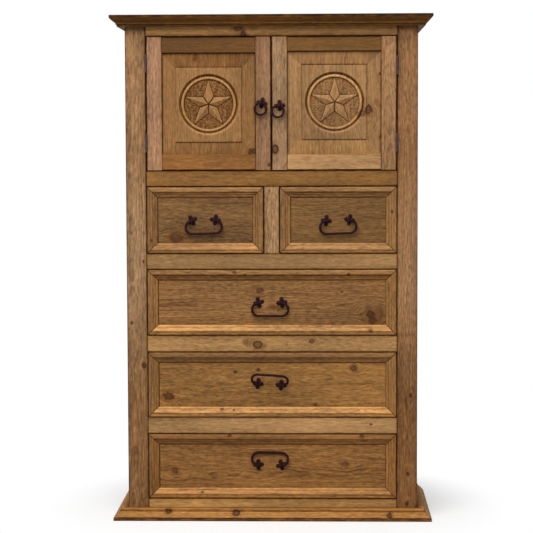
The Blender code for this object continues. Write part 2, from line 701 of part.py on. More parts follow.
def bail():
    """A bent iron bar that hangs from the origin, with its two tails on the X axis turned inwards."""
    straight, radius = BAIL_HALF_STRAIGHT, BAIL_END_RADIUS
    left = arc((-straight, -radius), radius, 90, 270, BAIL_END_STEPS)
    right = arc((straight, -radius), radius, -90, 90, BAIL_END_STEPS)
    tails = straight - BAIL_TAIL
    return tube([(-tails, 0), *left, *right, (tails, 0)], BAIL_ROD_RADIUS, ROD_SIDES)


def make_drawer(name, x, z, front_pine, box_pine, iron):
    """One drawer for the opening between two values on X and on Z, with its bail pull."""
    middle = Vector((sum(x) / 2, FACE_Y, sum(z) / 2))
    slide = empty(f"{name}_drawer_slide", middle)
    width = x[1] - x[0] - 2 * DRAWER_FRONT_GAP
    height = z[1] - z[0] - 2 * DRAWER_FRONT_GAP
    front_back = DRAWER_PANEL_DEPTH + DRAWER_FRONT_THICKNESS
    moulding = [(inset, DRAWER_PANEL_DEPTH - rise) for inset, rise in DRAWER_MOULDING]
    front = rectangle_loft(width, height, [(0, front_back), *moulding])

    pull = DRAWER_PULLS[name]
    tilt = face_turn(pull["tilt"])
    centre = Vector((pull["x"], 0, pull["z"]))
    places = [centre + tilt @ Vector((half * ROSETTE_SPACING / 2, 0, 0)) for half in (-1, 1)]
    bores = [shank_bore(place.x, place.z, front_back) for place in places]
    add(f"{name}_drawer_front", joined([front], bores), front_pine, middle, slide)

    box_width = x[1] - x[0] - 2 * DRAWER_BOX_CLEARANCE
    box_height = z[1] - z[0] - BOX_HEADROOM
    box_place = (middle.x, DRAWER_BOX_Y, z[0] + SEAT_GAP)
    add(f"{name}_drawer_box", drawer_box(box_width, box_height), box_pine, box_place, slide)

    face = middle + Vector((0, DRAWER_PANEL_DEPTH - SEAT_GAP, 0))
    thickness = DRAWER_FRONT_THICKNESS + SEAT_GAP
    for end, place, turn in zip(("left", "right"), places, pull["turns"]):
        plate = rosette(thickness, turn, pull["tilt"], BAIL_ROD_RADIUS)
        add(f"{name}_drawer_rosette_{end}", plate, iron, face + place, slide)
    pivot = empty(f"{name}_bail_pivot", face + centre + tilt @ HANG_POINT)
    raised = tilt @ Matrix.Rotation(-math.radians(pull["swing"]), 4, "X")
    add(f"{name}_drawer_bail", bail(), iron, pivot.location, pivot, raised)


def build():
    clear_scene()
    pine = material("waxed pine", (0.28, 0.15, 0.062), 0.5)
    crown_pine = material("dark waxed pine", (0.12, 0.062, 0.024), 0.5)
    door_pine = material("door pine", (0.33, 0.175, 0.080), 0.5)
    panel_pine = material("carved pine", (0.28, 0.14, 0.052), 0.5)
    front_pine = material("drawer front pine", (0.24, 0.12, 0.042), 0.5)
    plain_pine = material("unfinished pine", (0.48, 0.33, 0.18), 0.7)
    iron = material("dark iron", (0.035, 0.022, 0.024), 0.45, 0.8)
    steel = material("dull steel", (0.16, 0.15, 0.16), 0.4, 0.9)

    make_frame(pine, crown_pine)
    make_sides(pine)
    make_inner_boards(plain_pine)
    make_door("left", -1, door_pine, panel_pine, iron, steel)
    make_door("right", 1, door_pine, panel_pine, iron, steel)

    wide = (-OPENING_HALF, OPENING_HALF)
    half_stile = CENTRE_STILE_WIDTH / 2
    drawers = {
        "small_left": ((-OPENING_HALF, -half_stile), (SMALL_SILL, SMALL_HEAD)),
        "small_right": ((half_stile, OPENING_HALF), (SMALL_SILL, SMALL_HEAD)),
        "upper": (wide, (UPPER_SILL, UPPER_HEAD)),
        "middle": (wide, (MIDDLE_SILL, MIDDLE_HEAD)),
        "lower": (wide, (LOWER_SILL, LOWER_HEAD)),
    }
    for name, (x, z) in drawers.items():
        make_drawer(name, x, z, front_pine, plain_pine, iron)


build()
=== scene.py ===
# %% [markdown]
# # A knotty pine door chest, dressed for the camera
#
# The frame brings in the plain solids of the chest, already in their places. This lesson replaces
# them, board by board, with surfaces worked out as arrays of points, and gives each board its own
# pine. Units are metres, +Z is up and the front of the chest faces -Y.

import math

import bpy
import numpy as np
from mathutils import Euler, Matrix, Vector


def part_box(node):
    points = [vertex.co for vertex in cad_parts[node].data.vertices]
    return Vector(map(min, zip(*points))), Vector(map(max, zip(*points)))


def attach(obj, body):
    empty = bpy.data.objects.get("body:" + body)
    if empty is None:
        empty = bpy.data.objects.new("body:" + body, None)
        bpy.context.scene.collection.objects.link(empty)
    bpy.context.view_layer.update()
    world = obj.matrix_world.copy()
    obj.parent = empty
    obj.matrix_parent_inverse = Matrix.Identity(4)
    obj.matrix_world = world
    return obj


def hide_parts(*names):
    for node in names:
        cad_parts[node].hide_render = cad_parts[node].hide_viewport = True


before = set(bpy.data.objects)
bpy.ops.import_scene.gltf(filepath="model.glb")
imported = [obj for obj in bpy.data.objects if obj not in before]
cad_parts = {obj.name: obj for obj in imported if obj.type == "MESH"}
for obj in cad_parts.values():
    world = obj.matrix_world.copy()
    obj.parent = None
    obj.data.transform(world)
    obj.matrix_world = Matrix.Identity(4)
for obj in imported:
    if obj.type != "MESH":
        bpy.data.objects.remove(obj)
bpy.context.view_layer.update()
MM = 0.001
FACE_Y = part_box("post_left")[0].y

# %% [markdown]
# ## Shapes as grids
#
# Nearly every piece here is a closed line carried along a path: a board is a rectangle carried
# along its grain, a moulding is its profile carried from mitre to mitre, an iron bar is a circle
# carried along a bent line. So one function joins a stack of rings into a closed shape. Blender's
# own cubes and curves would do for some, but one grid function gives every piece the same care:
# eased edges, slight unevenness, and a value on each point that says how much old wax and painted
# shade lie there.

# %% Rings into a closed shape


def luck(name):
    """Random draws that are the same each run and belong to one piece."""
    return np.random.default_rng(list(name.encode()))


def circle(angle):
    """The cosine and the sine of each angle, as points on a circle of radius 1."""
    return np.stack([np.cos(angle), np.sin(angle)], -1)


def ramp(value, start, end):
    """0 up to the start, 1 past the end, and in proportion between them."""
    return np.clip((value - start) / (end - start), 0, 1)


def skin(rings, wax=0.0, loop=False):
    """A closed shape (points, quads, caps, wax) from an array of rings (stations, around, 3).

    Quad (i, j) joins points j and j + 1 of ring i to those of ring i + 1. The two end rings are
    filled, or joined to each other in a loop. The volume is the sum of the pyramids that the faces
    make with the middle of the shape: where it is negative, every face is turned round.
    """
    count, around = rings.shape[:2]
    index = np.arange(count * around).reshape(count, around)
    low, high = (index, np.roll(index, -1, 0)) if loop else (index[:-1], index[1:])
    quads = np.stack([low, np.roll(low, -1, 1), np.roll(high, -1, 1), high], -1).reshape(-1, 4)
    caps = [] if loop else [index[0, ::-1], index[-1]]
    points = rings.reshape(-1, 3)
    a, b, c, d = (points[quads[:, k]] - points.mean(0) for k in range(4))
    volume = (np.cross(a, b) * c).sum() + (np.cross(a, c) * d).sum()
    for cap in caps:
        p = points[cap] - points.mean(0)
        volume += (np.cross(p[:1], p[1:-1]) * p[2:]).sum()
    turn = slice(None, None, -1 if volume < 0 else 1)
    wax = np.broadcast_to(wax, (count, around)).reshape(-1)
    return points, quads[:, turn], [cap[turn] for cap in caps], wax


def together(*shapes):
    """Several closed shapes as one."""
    starts = np.cumsum([0] + [len(shape[0]) for shape in shapes])
    return (
        np.concatenate([shape[0] for shape in shapes]),
        np.concatenate([shape[1] + start for shape, start in zip(shapes, starts)]),
        [cap + start for shape, start in zip(shapes, starts) for cap in shape[2]],
        np.concatenate([shape[3] for shape in shapes]),
    )


def moved(shape, matrix):
    """A shape carried through a 4 x 4 matrix."""
    matrix = np.array(matrix)
    return shape[0] @ matrix[:3, :3].T + matrix[:3, 3], *shape[1:]


def linked(name, data):
    """A new object in the scene, at the origin."""
    made = bpy.data.objects.new(name, data)
    bpy.context.collection.objects.link(made)
    return made


def put(name, shape, body, slot, finish, *nodes, sharp=35):
    """Makes a piece of a shape: it rides on a body and takes the place of plain solids."""
    points, quads, caps, wax = shape
    mesh = bpy.data.meshes.new(name)
    mesh.from_pydata(points.tolist(), [], quads.tolist() + [cap.tolist() for cap in caps])
    # Each point keeps a value of old wax and painted shade, which the finish reads
    mesh.attributes.new("wax", "FLOAT", "POINT").data.foreach_set("value", np.ascontiguousarray(wax))
    mesh.shade_smooth()
    mesh.set_sharp_from_angle(angle=math.radians(sharp))
    mesh.materials.append(finish)
    piece = linked(name, mesh)
    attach(piece, body)
    if nodes:
        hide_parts(*nodes)


# %% [markdown]
# ## A board
#
# A hand-planed board is not a perfect box: its long edges are eased, its ends a little too, and its
# faces rise and fall by a few tenths of a millimetre. Old wax gathers along the edges, so the points
# there carry more of it, and the pine will darken with it.

# %% A board with eased edges

EDGE_WAX = 0.8


def plank(name, lo, hi, along, ease=0.9 * MM, wave=0.15 * MM):
    """A board between two corners, with its grain along axis 0, 1 or 2.

    The section is a rounded rectangle: four quarter circles of the ease, joined by straight sides.
    It is carried along the grain and drawn in by the ease at both ends. Its points move towards its
    middle line by a slow sum of sines, which is at most the wave.
    """
    lo, hi = np.array(lo, float), np.array(hi, float)
    other = [k for k in range(3) if k != along]
    half = (hi - lo)[other] / 2
    flat, marks = [], []
    for quarter in range(4):
        round_off = circle(np.radians(90 * quarter + np.array([0, 30, 60, 90])))
        corner = np.sign(round_off[0] + round_off[-1])
        following = corner[::-1] * (-1, 1)
        arc = corner * (half - ease) + ease * round_off
        end = following * (half - ease) + ease * round_off[-1]
        near = min(0.15, 3 * MM / max(np.linalg.norm(end - arc[-1]), 1e-6))
        share = np.array([near, 0.3, 0.5, 0.7, 1 - near])[:, None]
        flat += [arc, arc[-1] + (end - arc[-1]) * share]
        marks += [EDGE_WAX] * 4 + [0.12, 0, 0, 0, 0.12]
    flat = np.concatenate(flat)
    size = hi[along] - lo[along]
    near_end = min(4 * MM, size / 5)
    middle = np.linspace(near_end, size - near_end, int(np.clip(size / 0.035, 4, 40)))
    s = np.concatenate([[0, ease], middle, [size - ease, size]])[:, None]
    phase = luck(name).uniform(0, 6.28, 4)
    around = np.arctan2(flat[:, 1], flat[:, 0])
    swell = np.sin(s / 0.052 + phase[0]) + np.sin(s / 0.027 + 2 * around + phase[1])
    swell = swell + np.sin(s / 0.11 + around + phase[2])
    drawn_in = wave * (0.5 + swell / 6)
    drawn_in[[0, -1]] += ease
    rings = np.empty((len(s), len(flat), 3))
    rings[..., along] = lo[along] + s
    rings[..., other] = flat * (1 - drawn_in[..., None] / half) + ((hi + lo) / 2)[other]
    wax = np.tile(marks, (len(s), 1))
    wax[[0, 1, -2, -1]] = EDGE_WAX
    return skin(rings, wax)


def carried(name, section, start, end, origin, axes, wax=0.0, wave=0.12 * MM, end_wax=0.0):
    """A profile carried along a line.

    section is (points, 2). start and end may differ for each point of it, which cuts a mitre. Point
    (u, v) of the profile at distance s lies u, v and s from the origin along three axes: "-z-y+x"
    measures u down, v forwards and s to the right. The profile sways from side to side by a slow
    sine of s. end_wax is the least wax on its two end rings.
    """
    section = np.array(section, float)
    near = 2 * MM / np.max(np.asarray(end) - start)
    share = np.concatenate([[0], np.linspace(near, 1 - near, 30), [1]])[:, None]
    sway = wave * np.sin(share * 30 / 3.1 + luck(name).uniform(0, 6.28))
    rings = np.empty((len(share), len(section), 3))
    steps = section[:, 0], section[:, 1] + sway, start + (np.asarray(end) - start) * share
    for step, sign, axis in zip(steps, axes[::2], axes[1::2]):
        k = "xyz".index(axis)
        rings[..., k] = origin[k] + (step if sign == "+" else -step)
    wax = np.tile(wax, (len(share), 1)) if np.ndim(wax) else np.full(rings.shape[:2], wax)
    wax[[0, -1]] = np.maximum(wax[[0, -1]], end_wax)
    return skin(rings, wax)


def through(points, count):
    """A smooth line through points: between two of them each coordinate is the cubic of Catmull and
    Rom, whose slope at a point is half the step between its two neighbours."""
    p = np.asarray(points, float)
    p = np.concatenate([[2 * p[0] - p[1]], p, [2 * p[-1] - p[-2]]])
    t = np.linspace(0, len(points) - 1 - 1e-9, count)
    k = t.astype(int)
    t = (t - k)[:, None]
    a, b, c, d = p[k], p[k + 1], p[k + 2], p[k + 3]
    return b + 0.5 * t * (c - a + t * (2 * a - 5 * b + 4 * c - d + t * (3 * (b - c) + d - a)))


# %% [markdown]
# ## Pine
#
# Sawn pine shows the tree's rings as lines that wander along the board, in long arches where the saw
# ran near the heart. A photograph could be wrapped round each board, but then the pattern would not
# match at the edges. Here the rings are a solid pattern: the distance from a wandering heart line
# behind the face, cut into rings. Every board turns the pattern so that its grain runs the right way,
# and starts it somewhere else. A knot bends the lines round itself before the rings are cut.

# %% Nodes by name


def feed(tree, sockets, **feeds):
    """Gives sockets their values, or links them to other outputs. i0 means the first socket."""
    for key, value in feeds.items():
        socket = sockets[int(key[1:])] if key[1:].isdigit() else sockets[key.replace("_", " ")]
        if isinstance(value, bpy.types.NodeSocket):
            tree.links.new(value, socket)
        else:
            socket.default_value = value


def node(tree, kind, settings=None, **feeds):
    """Adds a node, with its settings, and feeds its inputs."""
    made = tree.nodes.new("ShaderNode" + kind)
    for key, value in (settings or {}).items():
        setattr(made, key, value)
    feed(tree, made.inputs, **feeds)
    return made


def outputs_of(kind, settings, *inputs, **named):
    """Adds a node that works on other outputs, in the node tree that they are in."""
    values = (*inputs, *named.values())
    tree = next(value.id_data for value in values if isinstance(value, bpy.types.NodeSocket))
    feeds = {f"i{k}": value for k, value in enumerate(inputs)}
    return node(tree, kind, settings, **feeds, **named).outputs


def maths(operation, *values):
    """One step of arithmetic on values."""
    return outputs_of("Math", {"operation": operation}, *values)[0]


def times(first, second, more=0.0):
    """The product of two values, with a third value added to it."""
    return maths("MULTIPLY_ADD", first, second, more)


def vectors(operation, *values):
    """One step of arithmetic on vectors. A length is a value, and the rest are vectors."""
    output = "Value" if operation == "LENGTH" else "Vector"
    return outputs_of("VectorMath", {"operation": operation}, *values)[output]


def scaled(vector, scale):
    """A vector times a value."""
    return outputs_of("VectorMath", {"operation": "SCALE"}, vector, Scale=scale)["Vector"]


def blended(share, first, second, how="MIX"):
    """Two colours mixed by a share."""
    settings = {"data_type": "RGBA", "blend_type": how, "clamp_factor": True}
    return outputs_of("Mix", settings, share, i6=first, i7=second)[2]


def tinted(colour, tint):
    """A colour times a tint."""
    return blended(1.0, colour, tint, "MULTIPLY")


def eased(value, *ranges):
    """A value eased from one range to another, which is 0 to 1 if not given."""
    return outputs_of("MapRange", {"interpolation_type": "SMOOTHSTEP"}, value, *ranges)[0]


def noise(place, stretch, detail=2.0, roughness=0.5, output=0):
    """Soft noise whose size is set on each axis, in lumps to the metre."""
    place = vectors("MULTIPLY", place, stretch)
    return outputs_of("TexNoise", {}, Vector=place, Scale=1.0, Detail=detail, Roughness=roughness)[output]


def shared(name, ins, outs):
    """A node group. ins and outs give the names of its inputs and outputs by their kind."""
    tree = bpy.data.node_groups.new(name, "ShaderNodeTree")
    for in_out, kinds in (("INPUT", ins), ("OUTPUT", outs)):
        for kind, labels in kinds.items():
            for label in labels:
                tree.interface.new_socket(label, in_out=in_out, socket_type="NodeSocket" + kind)
    return tree, tree.nodes.new("NodeGroupInput").outputs, tree.nodes.new("NodeGroupOutput").inputs


# %% A knot that bends the grain round itself


def make_knot_group():
    """All of it follows from the distance to the knot's centre over its radius, made ragged by noise:
    how far the grain is pushed aside, the dark disc with its rim, and the reddish halo. A strength
    above 1.1 gives a ringed knot with a paler middle. Knots that come before are kept."""
    tree, given, result = shared(
        "knot",
        {"Vector": ["Vector", "Centre"], "Float": ["Radius", "Strength", "Knot", "Halo"]},
        {"Vector": ["Vector"], "Float": ["Knot", "Halo"]},
    )
    away = vectors("SUBTRACT", given["Vector"], given["Centre"])
    flat = vectors("MULTIPLY", away, (0.75, 1.0, 0.0))
    far = maths("DIVIDE", vectors("LENGTH", flat), given["Radius"])
    ragged = maths("SUBTRACT", noise(given["Vector"], (90, 130, 130)), 0.5)
    far = times(ragged, eased(given["Strength"], 1.05, 1.2, 1.3, 0.5), far)
    bend = maths("DIVIDE", 1.0, times(maths("POWER", far, 3.0), 0.05, 1.0))
    pull = scaled(vectors("MULTIPLY", away, (0.0, -0.8, 0.0)), bend)
    rim = times(eased(far, 0.4, 0.75), eased(far, 0.9, 1.2, 0.35, 0.0))
    middle = eased(given["Strength"], 1.05, 1.2, 0.7, 0.4)
    disc = times(eased(far, 0.7, 1.15, 1.0, 0.0), middle, rim)
    core = times(disc, given["Strength"])
    halo = eased(far, 0.8, 2.4, 1.0, 0.0)
    feed(
        tree, result, Vector=vectors("ADD", given["Vector"], pull),
        Knot=maths("MAXIMUM", core, given["Knot"]), Halo=maths("MAXIMUM", halo, given["Halo"]),
    )
    return tree


KNOT = make_knot_group()

# %% The rings, the fibres and the wax

KNOT_BROWN, HALO_RED = (0.045, 0.014, 0.003, 1), (0.165, 0.056, 0.012, 1)
# The first two tints darken for old wax and for painted shade, the third brightens for rubbed wear and for
# painted highlights
WAX_FILM_AND_SHADE, WAX_DIRT_AND_SHADE, RUBBED_AND_HIGHLIGHT = (0.70, 0.60, 0.44, 1), (0.16, 0.13, 0.16, 1), (1.70, 1.68, 1.38, 1)


def make_pine_group():
    """Rings are the fraction of (distance from the heart line / ring width), raised to a power, so
    each darkens slowly outwards and ends at once. Fibres are noise drawn out along the grain. Old
    wax and painted shade, one value per point, yellow and then darken the wood above zero, and below
    zero they brighten it, as rubbed wear and as painted highlight."""
    tree, given, result = shared(
        "pine_board",
        {
            "Vector": ["Vector"], "Color": ["Light", "Dark"],
            "Float": ["Ring Width", "Knot", "Halo", "Wax", "Mottle"],
        },
        {"Color": ["Color"], "Float": ["Roughness", "Height"]},
    )
    place = given["Vector"]

    def pushed(vector, stretch, detail, far):
        """A vector moved any way by noise, by up to half of far."""
        push = noise(place, stretch, detail, output="Color")
        push = vectors("SUBTRACT", push, (0.5, 0.5, 0.5))
        return vectors("ADD", vector, scaled(push, far))

    bent = pushed(pushed(place, (2.6, 6, 6), 1.5, 0.034), (11, 16, 16), 1.0, 0.009)
    heart = vectors("LENGTH", vectors("MULTIPLY", bent, (0, 1, 1)))
    ring = maths("FRACT", maths("DIVIDE", heart, given["Ring Width"]))
    ring = times(maths("POWER", ring, 2.2), eased(ring, 0.93, 1.0, 1.0, 0.0))
    patches = noise(place, (1.5, 16, 16))
    rings = times(ring, eased(patches, 0.25, 0.75, 0.25, 0.9))
    streaks = noise(bent, (2.2, 130, 130), 3.0, 0.6)
    fibre = noise(place, (14, 700, 700), 2.0, 0.6)
    clouds = noise(place, (2.2, 9, 9))
    mottle = noise(place, (50, 180, 180), 2.0, 0.6)
    dark_lines = eased(noise(bent, (3.5, 420, 420), 1.0), 0.62, 0.78, 0.0, 0.5)
    share = times(rings, 0.95, times(streaks, 1.7, -0.68))
    colour = blended(maths("MAXIMUM", share, dark_lines), given["Light"], given["Dark"])
    tone = times(fibre, 0.55, times(clouds, 1.2, 0.13))
    tone = times(times(mottle, 2.4, -1.2), given["Mottle"], tone)
    colour = tinted(colour, outputs_of("CombineColor", {}, tone, tone, tone)[0])
    colour = blended(times(given["Halo"], 0.42), colour, HALO_RED)
    colour = blended(times(given["Knot"], 0.93), colour, KNOT_BROWN)
    patchy = eased(noise(place, (30, 90, 90)), 0.2, 0.7, 0.55, 1.0)
    wax = times(given["Wax"], patchy)
    colour = blended(times(wax, 2.8), colour, tinted(colour, WAX_FILM_AND_SHADE))
    colour = blended(eased(wax, 0.2, 0.95), colour, tinted(colour, WAX_DIRT_AND_SHADE))
    colour = blended(times(given["Wax"], -1.0), colour, tinted(colour, RUBBED_AND_HIGHLIGHT))
    rough = times(given["Wax"], 0.3, times(fibre, 0.2, 0.56))
    height = times(streaks, 0.8, times(rings, 0.7, times(fibre, 0.5)))
    height = times(given["Knot"], -0.8, height)
    feed(tree, result, Color=colour, Roughness=rough, Height=height)
    return tree


PINE = make_pine_group()

# %% [markdown]
# Each board then gets a material of its own. The Mapping node turns the pattern so that its first
# axis lies along the grain and its third through the thickness, and puts the heart of the tree a few
# centimetres behind the face. Knots are given in millimetres where they are seen on the board.

# %% One material for one board

# Turns of the pattern for a grain along the first axis in a board whose face looks along the second
GRAIN_TURNS = {"xy": (-90, 0, 0), "zy": (90, 0, 90), "zx": (0, 90, 0), "yx": (90, 90, 0), "xz": (0, 0, 0)}


def blank(name):
    """A new material, its nodes and its Object coordinates."""
    made = bpy.data.materials.new(name)
    made.use_nodes = True
    return made, made.node_tree, node(made.node_tree, "TexCoord").outputs["Object"]


def dress(tree, look, strength, depth, **constants):
    """Feeds the shader from a finish group, with its height as bump, and sets its other sockets."""
    bump = node(tree, "Bump", Strength=strength, Distance=depth, Height=look["Height"]).outputs[0]
    shader = tree.nodes["Principled BSDF"].inputs
    feed(tree, shader, Base_Color=look["Color"], Roughness=look["Roughness"], Normal=bump, **constants)


def pine(name, middle, lie, colour, width=0.1, knots=(), contrast=1.0, ring=None, heart=None, mottle=0.6):
    """Pine for one board whose middle is at a place.

    lie is a key of GRAIN_TURNS. knots are (x, z, radius, strength) in millimetres on the front. heart
    is where the middle of the tree lies across and behind the face, drawn within the board's width if
    not given. ring is how wide a year is.
    """
    draw = luck(name)
    angles = [math.radians(angle) for angle in GRAIN_TURNS[lie]]
    turn = Euler(angles).to_matrix()
    across, behind = heart or (draw.uniform(-0.3, 0.3) * width, draw.uniform(0.02, 0.055))
    shift = Vector((draw.uniform(-4, 4), across, behind)) - turn @ Vector(middle)
    made, tree, place = blank(name)
    place = node(tree, "Mapping", Vector=place, Location=shift, Rotation=angles).outputs[0]
    knot = halo = 0.0
    for x, z, radius, *strength in knots:
        place, knot, halo = node(
            tree, "Group", {"node_tree": KNOT}, Vector=place, Knot=knot, Halo=halo,
            Centre=turn @ Vector((x * MM, FACE_Y, z * MM)) + shift, Radius=radius * MM,
            Strength=strength[0] if strength else 1.0,
        ).outputs
    light = [min(1.0, v * (1 + 0.22 * contrast)) for v in colour]
    dark = [v * (1 - depth * contrast) for v, depth in zip(colour, (0.46, 0.54, 0.62))]
    # Old wax and painted shade and highlight, one value per point, set by each piece's shape
    wax = node(tree, "Attribute", {"attribute_name": "wax"}).outputs["Fac"]
    wood = node(
        tree, "Group", {"node_tree": PINE}, Vector=place, Ring_Width=ring or draw.uniform(3.4, 5.6) * MM,
        Light=(*light, 1), Dark=(*dark, 1), Knot=knot, Halo=halo, Wax=wax, Mottle=mottle,
    )
    dress(tree, wood.outputs, 0.35, 0.5 * MM, Specular_IOR_Level=0.16)
    return made


# %% [markdown]
# ## The front frame
#
# Two full-height posts carry six rails, and a short stile stands between the two small drawers. They
# are plain boards flush with each other. Each keeps its own tone, as old boards do: the posts greyer,
# the rails warmer, and the two above and below the small drawers the darkest.

# %% Posts, rails and the centre stile

# How much darker the posts are made towards the floor and towards the top
POST_FOOT_DARKENING, POST_TOP_DARKENING = 0.42, 0.23

FRAME_BOARDS = {
    "post_left": ((0.316, 0.182, 0.090), [(-427.7, 517, 7), (-427, 864, 4), (-467, 659, 4)]),
    "post_right": ((0.285, 0.150, 0.066), [(461, 416, 6), (453, 152, 5), (450, 52, 5)]),
    "top_rail": ((0.300, 0.157, 0.055), [(-108, 1634, 12, 0.8), (-92, 1625, 8), (-66, 1640, 8, 0.4)]),
    "door_rail": ((0.224, 0.105, 0.026), []),
    "upper_drawer_rail": ((0.260, 0.143, 0.054), []),
    "middle_drawer_rail": (
        (0.398, 0.216, 0.078), [(-47.7, 586, 13, 1.3), (-86.7, 591, 5, 0.5), (132.5, 598, 7, 1.3)],
    ),
    "lower_drawer_rail": ((0.358, 0.197, 0.077), [(329, 318, 3)]),
    "bottom_rail": ((0.400, 0.214, 0.067), []),
    "centre_stile": ((0.341, 0.200, 0.091), []),
}
for name, (colour, knots) in FRAME_BOARDS.items():
    lo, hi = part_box(name)
    if name.endswith("rail"):
        along, lie, width, contrast, mottle = 0, "xy", hi.z - lo.z, 0.5, 0.5
    else:
        along, lie, width, contrast, mottle = 2, "zy", hi.x - lo.x, 0.85, 0.7
    finish = pine(name, (lo + hi) / 2, lie, colour, width, knots, contrast, mottle=mottle)
    points, quads, caps, wax = plank(name, lo, hi, along)
    z = points[:, 2]
    height_gradient = 0.0
    if name.startswith("post"):
        height_gradient = POST_FOOT_DARKENING * ramp(z, 0.75, 0.40) + POST_TOP_DARKENING * ramp(z, 1.0, 1.2)
    elif name == "top_rail":
        # The top rail is painted brighter at the top, where the crown's shadow falls, to cancel that shadow
        # (painted highlight), and darker towards its lower edge (painted shade)
        height_gradient = 1.28 * ramp(z, hi.z - 0.037, hi.z - 0.067) - 0.8
    wax = np.where(wax < 0.5, np.clip(wax + height_gradient, -1, 1), wax * (0.7 if "drawer" in name else 1.0))
    put(name + "_board", (points, quads, caps, wax), "carcass", "waxed_pine", finish, name)
print("front frame:", len(FRAME_BOARDS), "boards")

# %% [markdown]
# ## Crown and base mouldings
#
# Both are the same profile, run once upright and once upside down: a square fillet, an ogee slope and
# a narrow band. Each is three lengths, mitred at the front corners. The slope is a smooth line through
# a few points, and each length is that profile carried from mitre to mitre, so the end of every point
# of it depends on how far out the point lies.

# %% The profile and its wax

OVERHANG = 47.0
SLOPE = ((0, 0), (0.08, 0.07), (0.28, 0.30), (0.55, 0.53), (0.82, 0.72), (1, 0.86))

# Old wax and painted shade by height on the profile in millimetres. Wax fills the inner corners, and
# the dark marks also paint the shade on the crown's lower band and in the base's groove and step.
# Values below zero are cut to zero where they are used.
WAX_AND_SHADE_BY_HEIGHT = {
    "crown": [
        (0, 0.95), (7.6, 0.88), (9, 0.45), (12, 0.34), (22.5, 0.34), (24.5, -0.5), (27.5, -0.5),
        (29, 0.6), (36, 0.75), (36.6, 0.6), (37, 0),
    ],
    "base": [
        (0, 0.75), (7.6, 0.65), (8.4, 1.0), (10.8, 1.0), (12.4, 0.04), (28, 0.08), (30.4, 0.75),
        (33, 0.5), (34.2, 0), (37.4, -0.4),
    ],
}


def wrapped_profile(height, wear, hidden):
    """(out from the body, up) in millimetres, with its wax and painted shade: from the fillet over the
    slope to the band, and back down inside. hidden is the least wax inside and underneath."""
    slope = through(SLOPE, 26) * (-19.5, height - 16.5) + (OVERHANG, 9)
    step = [(27.5, 7.5), (26.6, 6.5), (25, 6.5), (24.3, 5.9), (24, 5.1), (24, 4), (24, 0.6), (23.4, 0)]
    band = [(out, height - down) for out, down in step]
    foot = [(0.3, height), (0.3, 0), (25, 0), (46.2, 0), (46.8, 0.3), (OVERHANG, 1), (OVERHANG, 7.6)]
    profile = np.array([*foot, *slope.tolist(), *band])
    inside = hidden * ((profile[:, 0] < 20) | (profile[:, 1] < 0.5))
    return profile, np.maximum(inside, np.interp(profile[:, 1], *np.transpose(wear)))


# %% Three mitred lengths each

BODY_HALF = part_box("post_right")[1].x
BACK_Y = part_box("side_left")[1].y
MITRE_GAP = 0.25 * MM
CROWN_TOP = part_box("crown_moulding")[1].z
BASE_KNOTS = {"front": [(-347, 29, 8, 1.0), (-120, 26, 10, 1.0), (390, 19, 7)]}
MOULDINGS = {
    "crown": (37, "-", CROWN_TOP, (0.172, 0.077, 0.014), "dark_waxed_pine", {}, 0.0),
    "base": (38, "+", 0.0, (0.350, 0.164, 0.042), "waxed_pine", BASE_KNOTS, 0.9),
}
for part, (height, up, level, colour, slot, marks, hidden) in MOULDINGS.items():
    profile, wax = wrapped_profile(height, WAX_AND_SHADE_BY_HEIGHT[part], hidden)
    profile = profile * MM
    reach = BODY_HALF + profile[:, 0] - MITRE_GAP
    return_start = FACE_Y - profile[:, 0] + MITRE_GAP
    lengths = {
        "front": (-reach, reach, (0, FACE_Y, level), f"-y{up}z+x", (0, FACE_Y, level), "xy"),
        "left": (return_start, BACK_Y, (-BODY_HALF, 0, level), f"-x{up}z+y", (-0.5, 0, level), "yx"),
        "right": (return_start, BACK_Y, (BODY_HALF, 0, level), f"+x{up}z+y", (0.5, 0, level), "yx"),
    }
    for side, (start, end, origin, axes, middle, lie) in lengths.items():
        name = f"{part}_{side}"
        finish = pine(name, middle, lie, colour, 0.06, marks.get(side, ()), contrast=0.9)
        shape = carried(name, profile, start, end, origin, axes, wax, wave=0.0, end_wax=0.6)
        put(name + "_moulding", shape, "carcass", slot, finish, f"{part}_moulding", sharp=30)
print("crown and base: 6 mitred lengths")

# %% [markdown]
# ## Sides, back, top and shelves
#
# Wide panels were glued up from narrower boards. Each side is three boards, each with its own rings,
# and the joints show as a change of figure. The drawers run on ledges along the sides, with a guide
# above each, and the two small ones share a ledge in the middle.

# %% Glued-up panels

SIDE_PINE = (0.300, 0.155, 0.062)
PLAIN_PINE = (0.46, 0.30, 0.155)


def glued_up(name, lo, hi, along, across, count, slot, lie, colour):
    """A panel of several boards side by side, whose widths and tones differ by up to a tenth or so."""
    draw = luck(name)
    widths = draw.uniform(0.85, 1.15, count)
    shares = np.concatenate([[0], np.cumsum(widths) / widths.sum()])
    edges = lo[across] + (hi[across] - lo[across]) * shares
    for number in range(count):
        low, high = list(lo), list(hi)
        low[across], high[across] = edges[number], edges[number + 1]
        tone = draw.uniform(0.9, 1.1)
        middle = [(a + b) / 2 for a, b in zip(low, high)]
        board = f"{name}_board_{number + 1}"
        finish = pine(board, middle, lie, [v * tone for v in colour], high[across] - low[across])
        shape = plank(board, low, high, along, ease=0.4 * MM, wave=0.1 * MM)
        put(board, (*shape[:3], shape[3] * 0.5), "carcass", slot, finish, name)


# %% Sides, runners and shelves

SIDE_INNER = 461 * MM
LEDGE_TALL, GUIDE_TALL, CENTRE_GUIDE = 20 * MM, 22 * MM, 26.5 * MM

